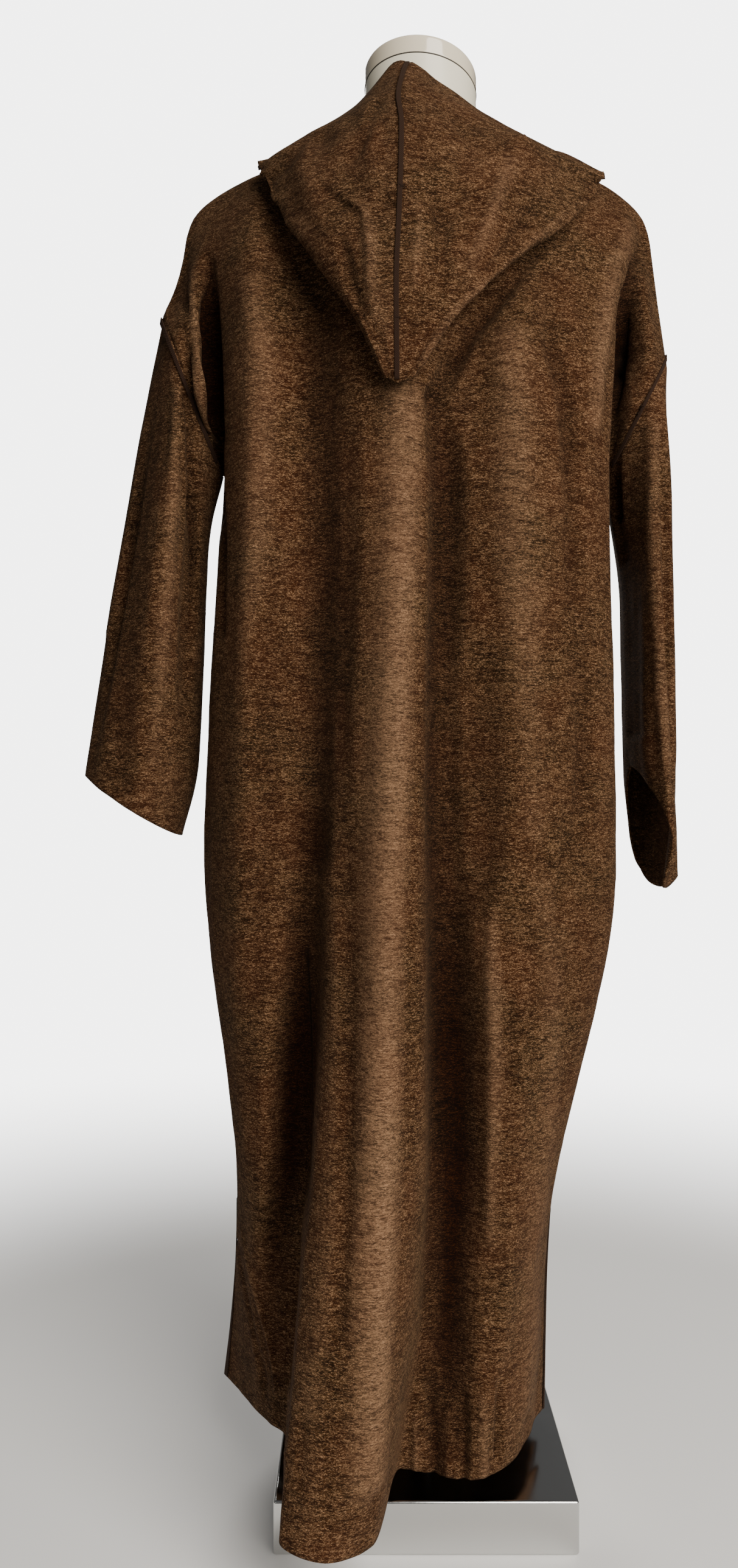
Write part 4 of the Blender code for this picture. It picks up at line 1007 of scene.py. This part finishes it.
HOOD_CREASES_RIGHT = (
    (((-1410, 13650, 56, 20), (-1170, 13380, 68, 30), (-920, 13140, 74, 40), (-630, 12850, 73, 50),
      (-370, 12580, 73, 50), (-180, 12350, 73, 50), (-40, 12140, 67, 40), (60, 11990, 61, 30)),
      1.0),
    (((-1020, 14480, 63, 30), (-1120, 14340, 57, -20), (-1310, 14340, 63, 30)), 1.0),
    (((-1530, 14330, 51, -20), (-1660, 14260, 51, 20)), 1.0),
    (((-850, 14100, 148, 30), (-670, 13610, 146, 60), (-530, 13210, 133, 50),
      (-400, 12890, 108, 20)), 0.7),
    (((-1130, 13680, 123, -30), (-960, 13390, 135, -60), (-780, 13130, 122, -50),
      (-600, 12840, 85, -30)), 1.0),
    (((-10, 13800, 108, -20), (-110, 13430, 120, -50), (-170, 12930, 108, -40),
      (-110, 12520, 72, -20)), 1.0),
    (((-250, 14640, 87, -20), (-430, 14330, 99, -40), (-610, 14180, 86, -20)), 1.0),
    (((80, 13530, 84, 20), (110, 13090, 83, 30), (140, 12680, 72, 20)), 1.0),
    (((200, 13600, 48, -30), (80, 13560, 48, -30), (-50, 13540, 48, -10)), 1.0),
)


def resting_height(x, y):
    """Height of the panels' outer face under a place near the shoulders."""
    out = np.abs(x)
    ring_y = np.sqrt(np.maximum(NECKLINE_R ** 2 - out ** 2, 0.0))
    slopes = [smooth(out, *zip(*SHOULDER[half])) for half in ("left", "right")]
    top = np.where(x > 0.0, slopes[0], slopes[1])
    top = np.where(out < NECKLINE_R, neckline_height(np.sign(y) * ring_y), top)
    deep = np.where(y > 0.0, BACK_DEPTH, FRONT_DEPTH) - ring_y
    share = np.clip((np.abs(y) - ring_y) / deep, 0.0, 1.0)
    return top - (top - UNDERARM_Z) * 2.0 / math.pi * np.arcsin(share ** 2)


def hood_surface(rows, side):
    """The outer face of one half of the hood: place across a row, and place up."""
    places = (0.0, 0.22, 0.43, 0.5, 0.57, 0.78, 1.0)

    def surface(across, up):
        row = {name: smooth(up, rows["at"], rows[name]) for name in HOOD_COLUMNS[1:]}
        fold_x, fold_y, fold_z = row[side + "_x"], row[side + "_y"], row[side + "_z"]
        sign = 1.0 if side == "left" else -1.0
        past_nape = np.clip((up - HOOD_NAPE_AT) / (1.0 - HOOD_NAPE_AT), 0.0, 1.0)
        turn = np.radians(HOOD_FRONT_TURN) * past_nape
        ring_y = NECKLINE_R * np.cos(turn)
        past = up >= HOOD_NAPE_AT
        below = np.clip((HOOD_NAPE_AT - up) / 0.16, 0.0, 1.0)
        end_x = np.where(past, sign * NECKLINE_R * np.sin(turn), HOOD_SEAM_X * below)
        end_y = np.where(past, ring_y, row["end_y"])
        end_z = np.where(past, neckline_height(ring_y) + NECK_GAP, row["end_z"])
        roll = HOOD_ROLL * np.clip(up / 0.1 + 0.3, 0.0, 1.0) * np.clip((1.12 - up) / 0.3, 0.2, 1.0)
        reach = fold_x - HOOD_SEAM_X
        x = (HOOD_SEAM_X, HOOD_SEAM_X + 0.50 * reach, HOOD_SEAM_X + 0.93 * reach, fold_x,
             HOOD_SEAM_X + 0.93 * reach, 0.5 * (fold_x + end_x), end_x)
        swell = HOOD_SWELL * np.clip(np.abs(reach) / 0.08, 0.0, 1.0) ** 2
        y = (row["seam_y"], 0.62 * row["seam_y"] + 0.38 * (fold_y + roll) + swell,
             fold_y + roll, fold_y, fold_y - 0.7 * roll, row["mid_y"], end_y)
        z = (row["seam_z"], 0.5 * (row["seam_z"] + fold_z) + row["sag"],
             fold_z + 0.07 * (row["seam_z"] - fold_z), fold_z,
             fold_z + 0.07 * (end_z - fold_z), 0.5 * (fold_z + end_z) + row["rise"], end_z)
        x, y, z = (smooth(across, places, [np.broadcast_to(v, across.shape) for v in values])
                   for values in (x, y, z))
        above = resting_height(x, y) + HOOD_CLEAR
        lifted = 0.5 * (z + above + np.sqrt((z - above) ** 2 + HOOD_CLEAR ** 2))
        free = bump((across - 0.5) / 0.06) * (across < 0.5) + (across >= 0.5)
        free = free * (1.0 - bump((across - 1.0) / 0.06))
        z = z + (lifted - z) * free * np.clip((up - 0.46) / 0.12, 0.0, 1.0)
        for half, at, height, wide, high, rise in HOOD_FOLDS:
            if half == side:
                y = y + rise * bump((across - at) / wide) * bump((up - height) / high)
        return points(x, y, z)

    return surface


# The crown seam wanders sideways, as the photograph shows, from the point to the brim:
# place up the seam, and how far it is moved
SEAM_SWAY = ((0.0, 0.0020), (0.25, 0.0032), (0.42, 0.0005), (0.66, -0.0024), (0.76, 0.0002),
             (0.88, -0.0045), (0.95, -0.0080), (1.0, -0.0115))
seam_sway = table(("at", "sway"), SEAM_SWAY, 1.0)


# Beside the neck the brim stands nearly level before it falls away: places across a
# half, and how much it is raised there
BRIM_RISE = {
    "left": ((0.0, 0.020, 0.045, 0.075, 0.11, 0.16, 0.5),
             (0.0, 0.006, 0.010, 0.007, 0.003, 0.0, 0.0)),
    "right": ((0.0, 0.015, 0.035, 0.060, 0.10, 0.18, 0.5),
              (0.0, 0.003, 0.003, 0.001, 0.002, 0.0, 0.0)),
}
BRIM_START = 0.86         # place up the hood where the brim begins to rise
SWAY_REACH = 0.40         # share of a half over which the seam's sway dies out


def swayed_hood(side):
    """A half of the hood, whose outer layer follows the wandering seam."""
    half = hood_surface(hood_rows, side)
    raised = BRIM_RISE[side]

    def surface(across, up):
        share = np.clip(1.0 - across / SWAY_REACH, 0.0, 1.0)
        sway = share * smooth(up, seam_sway["at"], seam_sway["sway"])
        brim = np.clip((up - BRIM_START) / 0.14, 0.0, 1.0) ** 2
        lift = smooth(np.clip(across, 0.0, 0.5), *raised) * brim
        return half(across, up) + points(sway, 0.0 * sway, lift)

    return surface


def hood_relief(seed, creases):
    """Creases of the outer layer of a half of the hood, and slight unevenness."""

    def relief(spots, across, down):
        u, v = across * HOOD_SIZE[0], down * HOOD_SIZE[1]
        uneven = (0.0012 * soft_noise(u / 0.06, v / 0.06, seed)
                  + 0.0005 * soft_noise(u / 0.02, v / 0.02, seed + 1))
        seam = bump(across / 0.03)
        end = bump((across - 1.0) / 0.05)
        outer_layer = np.clip((0.5 - across) / 0.04, 0.0, 1.0)
        laid = crease_height(spots, creases) * outer_layer
        edge = bump((across - 0.5) / 0.11) * np.clip((down - 0.35) / 0.2, 0.0, 1.0)
        laid = laid + edge * (0.0026 * soft_noise(v / 0.030, 4.0 + 0.0 * v, seed + 5)
                              + 0.0018 * soft_noise(v / 0.013, 9.0 + 0.0 * v, seed + 6))
        return (uneven + laid) * (1.0 - seam) * (1.0 - end) - 0.0012 * bump(across / 0.012)

    return relief


hood_rows = table(HOOD_COLUMNS, HOOD_ROWS)
up = np.linspace(0.0, 1.0, 111)
across = np.linspace(0.0, 1.0, 101)
for side, turn, seed, creases in (("left", -1.0, 61, HOOD_CREASES_LEFT),
                                 ("right", 1.0, 71, HOOD_CREASES_RIGHT)):
    cloth("hood_cloth_" + side, "hood_" + side, swayed_hood(side), across, up, turn,
                         HOOD_SIZE, hood_relief(seed, creases),
                         edges=(("first", fixed(X_AXIS)), ("last", nape_axis)))

SEAM_CORD_WIDE = 0.0050
SEAM_CORD_LIFT = 0.0012


def crown_seam(places, heights):
    """The strip over the crown seam."""
    y = smooth(heights, hood_rows["at"], hood_rows["seam_y"])
    z = smooth(heights, hood_rows["at"], hood_rows["seam_z"])
    sway = smooth(heights, seam_sway["at"], seam_sway["sway"])
    return points(HOOD_SEAM_X + sway + (places - 0.5) * SEAM_CORD_WIDE, y, z)


strips["crown"] = braid("hood_seam_strip", "hood_seam_braid", crown_seam,
                        np.linspace(0.0, 1.0, STRIP_POINTS), np.linspace(0.01, 0.99, 120),
                        -1.0, (0.007, 0.45), SEAM_CORD_LIFT)

# ---- Thread tacks ----
# Short bars of thread hold the braid: a cross and a bar on the crown seam and a knot of
# three at each armhole.
TACK_THICK = 0.0011
# Name, strip, place along X and Z, angle in degrees, and length
TACKS = (
    ("tack_crown_a", "crown", 0.026, 1.366, 35.0, 0.0085),
    ("tack_crown_b", "crown", 0.026, 1.366, -35.0, 0.0085),
    ("tack_crown_c", "crown", 0.030, 1.240, 4.0, 0.0080),
    ("tack_left_a", "left", 0.252, 1.240, 20.0, 0.0120),
    ("tack_left_b", "left", 0.252, 1.240, -35.0, 0.0110),
    ("tack_left_c", "left", 0.249, 1.234, -8.0, 0.0100),
    ("tack_right_a", "right", -0.222, 1.196, 65.0, 0.0120),
    ("tack_right_b", "right", -0.222, 1.196, 5.0, 0.0120),
    ("tack_right_c", "right", -0.219, 1.191, 35.0, 0.0100),
)

for name, strip, x, z, angle, length in TACKS:
    verts = [vert for vert in strips[strip].data.vertices if vert.normal.y > 0.1]
    near = min(verts, key=lambda vert: math.hypot(vert.co.x - x, vert.co.z - z))
    out = np.array(near.normal)
    level = unit(np.cross(out, (0.0, 0.0, 1.0)))
    rising = np.cross(level, out)
    turn = math.radians(angle)
    along = math.cos(turn) * level + math.sin(turn) * rising
    beside = np.cross(out, along)
    mesh = bmesh.new()
    bmesh.ops.create_uvsphere(mesh, u_segments=12, v_segments=10, radius=1.0)
    for vert in mesh.verts:
        place = np.array(vert.co)
        vert.co = (np.array(near.co) + along * place[2] * 0.5 * length
                   + beside * place[0] * 0.5 * TACK_THICK + out * place[1] * 0.5 * TACK_THICK)
    finished(name, mesh, paints["braid"])

# ---- Dress form and stand ----
# A cream satin shell with a glossy slanted neck cap over a dark joint, carried by a
# polished steel pole on a square base.
NECK_R = 0.0625
CAP_SEAM_Z = 1.558
NECK_FOOT_Z = 1.515       # where the neck begins to lean towards its slanted top
CAP_TILT_Y = 0.21         # rise towards the back
CAP_TILT_X = 0.08         # rise towards the left
TORSO_BOTTOM_Z = 0.800
POLE_R = 0.0125
BASE_SIDE = 0.310
BASE_HEIGHT = 0.055
BASE_ROUND = 0.003
# Rings of the dress form's body: height, half width, depth behind and before
TORSO_COLUMNS = ("z", "wide", "back", "front")
TORSO_RINGS = (
    (0.800, 0.160, 0.078, 0.072),
    (0.812, 0.170, 0.086, 0.080),
    (0.860, 0.172, 0.088, 0.082),
    (0.950, 0.158, 0.078, 0.078),
    (1.040, 0.150, 0.074, 0.078),
    (1.140, 0.166, 0.084, 0.086),
    (1.240, 0.188, 0.092, 0.090),
    (1.320, 0.206, 0.090, 0.082),
    (1.365, 0.214, 0.084, 0.076),
    (1.400, 0.216, 0.074, 0.066),
    (1.428, 0.210, 0.064, 0.058),
    (1.443, 0.2035, 0.058, 0.052),
    (1.4540, 0.194, 0.046, 0.042),
    (1.4664, 0.165, 0.040, 0.036),
    (1.4775, 0.135, 0.032, 0.030),
    (1.4868, 0.106, 0.026, 0.022),
    (1.4938, 0.084, 0.030, 0.026),
    (1.504, 0.060, 0.050, 0.050),
    (1.520, 0.040, 0.040, 0.040),
    (1.558, 0.030, 0.030, 0.030),
)
NECK_BLEND = 8            # how sharply the neck grows out of the shoulders
FORM_SIDES = 96
HARD_EDGE = 35.0          # degrees above which an edge of the form or stand stays hard


def turned_solid(name, surface, rings, paint, node):
    """A closed smooth solid of rings that stands for a solid of the frame."""
    across, down = np.meshgrid(np.linspace(0.0, 1.0, FORM_SIDES + 1), np.linspace(0.0, 1.0, rings))
    mesh, _, _ = laid_grid(surface(across, down), True)
    ends = [edge for edge in mesh.edges if edge.is_boundary]
    bmesh.ops.holes_fill(mesh, edges=ends, sides=0)
    return finished(name, mesh, paint, node, HARD_EDGE)


def mingled(name, roughness, spots, share, first, second, **finish):
    """A hard material in two mingled tones, with its shader and its own coordinates."""
    made, shader, place, _ = new_material(name, roughness, **finish)
    put((noise(place, spots, 2.0) * share).blend(first, second), shader.inputs["Base Color"])
    return made, shader, place


shell, shader, place = mingled("shell", 0.36, 9.0, 0.6, (0.86, 0.80, 0.63, 1.0),
                               (0.92, 0.87, 0.72, 1.0), coat=0.10)
put(noise(place, 40.0, 3.0) * 0.10 + 0.30, shader.inputs["Roughness"])
gloss, shader, place = mingled("gloss", 0.10, 14.0, 0.6, (0.78, 0.69, 0.52, 1.0),
                               (0.85, 0.76, 0.60, 1.0), coat=0.5)
put(noise(place, 30.0, 2.0) * 0.06 + 0.07, shader.inputs["Roughness"])
joint, shader, place = mingled("cap_joint", 0.7, 90.0, 0.5, (0.035, 0.030, 0.024, 1.0),
                               (0.075, 0.065, 0.05, 1.0))
steel, shader, place = mingled("steel", 0.16, 6.0, 0.5, (0.60, 0.60, 0.59, 1.0),
                               (0.66, 0.66, 0.65, 1.0), metallic=1.0)
brushed = noise(place, 60.0, 3.0, stretch=(1.0, 1.0, 0.1))
put(brushed * 0.10 + 0.10, shader.inputs["Roughness"])
bumped(shader, noise(place, 260.0, 2.0, stretch=(1.0, 1.0, 0.2)), 0.0001, 0.12)

form_rings = table(TORSO_COLUMNS, TORSO_RINGS, 1.0)
form_places = np.linspace(0.0, 1.0, len(TORSO_RINGS))


def form_surface(turn, down):
    """The shell: rings that grow into the neck, whose top leans back and to the left."""
    ring = {name: smooth(down, form_places, form_rings[name]) for name in TORSO_COLUMNS}
    angle = 2.0 * math.pi * turn
    deep = np.where(np.sin(angle) >= 0.0, ring["back"], ring["front"])
    x, y = ring["wide"] * np.cos(angle), deep * np.sin(angle)
    out = np.hypot(x, y)
    grown = (1.0 + (NECK_R / out) ** NECK_BLEND) ** (1.0 / NECK_BLEND)
    x, y = x * grown, y * grown
    lean = np.clip((ring["z"] - NECK_FOOT_Z) / (CAP_SEAM_Z - NECK_FOOT_Z), 0.0, 1.0)
    return points(x, y, ring["z"] + lean * (CAP_TILT_Y * y + CAP_TILT_X * x))


turned_solid("form_shell", form_surface, 120, shell, "form_torso")

# Height above the joint and share of the neck's radius
CAP_PROFILE = ((1.000, 0.0003), (1.004, 0.0015), (1.004, 0.0170),
               (0.996, 0.0188), (0.980, 0.0198), (0.940, 0.0200))


def cap_surface(turn, down):
    """The slanted cap: a short cylinder with a rounded upper edge."""
    stations = np.linspace(0.0, 1.0, len(CAP_PROFILE))
    out, high = (smooth(down, stations, column) for column in zip(*CAP_PROFILE))
    x = NECK_R * out * np.cos(2.0 * math.pi * turn)
    y = NECK_R * out * np.sin(2.0 * math.pi * turn)
    return points(x, y, CAP_SEAM_Z + high + CAP_TILT_Y * y + CAP_TILT_X * x)


turned_solid("cap_shell", cap_surface, 24, gloss, "neck_cap")

JOINT_OUT, JOINT_HALF = 1.012, 0.0007


def joint_surface(turn, down):
    """The thin dark joint that shows under the cap."""
    angle = 2.0 * math.pi * down
    out = NECK_R * (JOINT_OUT - 0.012) + JOINT_HALF * np.cos(angle)
    x, y = out * np.cos(2.0 * math.pi * turn), out * np.sin(2.0 * math.pi * turn)
    return points(x, y, CAP_SEAM_Z + JOINT_HALF * np.sin(angle) + CAP_TILT_Y * y + CAP_TILT_X * x)


across, down = np.meshgrid(np.linspace(0.0, 1.0, FORM_SIDES + 1), np.linspace(0.0, 1.0, 9))
mesh, _, _ = laid_grid(joint_surface(across, down), True)
bmesh.ops.remove_doubles(mesh, verts=mesh.verts[:], dist=1e-6)
finished("cap_joint", mesh, joint)

pole = bmesh.new()
low, high = BASE_HEIGHT, TORSO_BOTTOM_Z
bmesh.ops.create_cone(pole, cap_ends=True, segments=64, radius1=POLE_R, radius2=POLE_R,
                      depth=high - low)
bmesh.ops.translate(pole, verts=pole.verts[:], vec=(0.0, 0.0, 0.5 * (low + high)))
finished("pole_tube", pole, steel, "stand_pole", HARD_EDGE)

base = bmesh.new()
bmesh.ops.create_cube(base, size=1.0)
bmesh.ops.scale(base, verts=base.verts[:], vec=(BASE_SIDE, BASE_SIDE, BASE_HEIGHT))
bmesh.ops.translate(base, verts=base.verts[:], vec=(0.0, 0.0, 0.5 * BASE_HEIGHT))
bmesh.ops.bevel(base, geom=base.edges[:], offset=BASE_ROUND, segments=4, profile=0.5,
                affect="EDGES", material=-1)
finished("base_box", base, steel, "stand_base", HARD_EDGE)
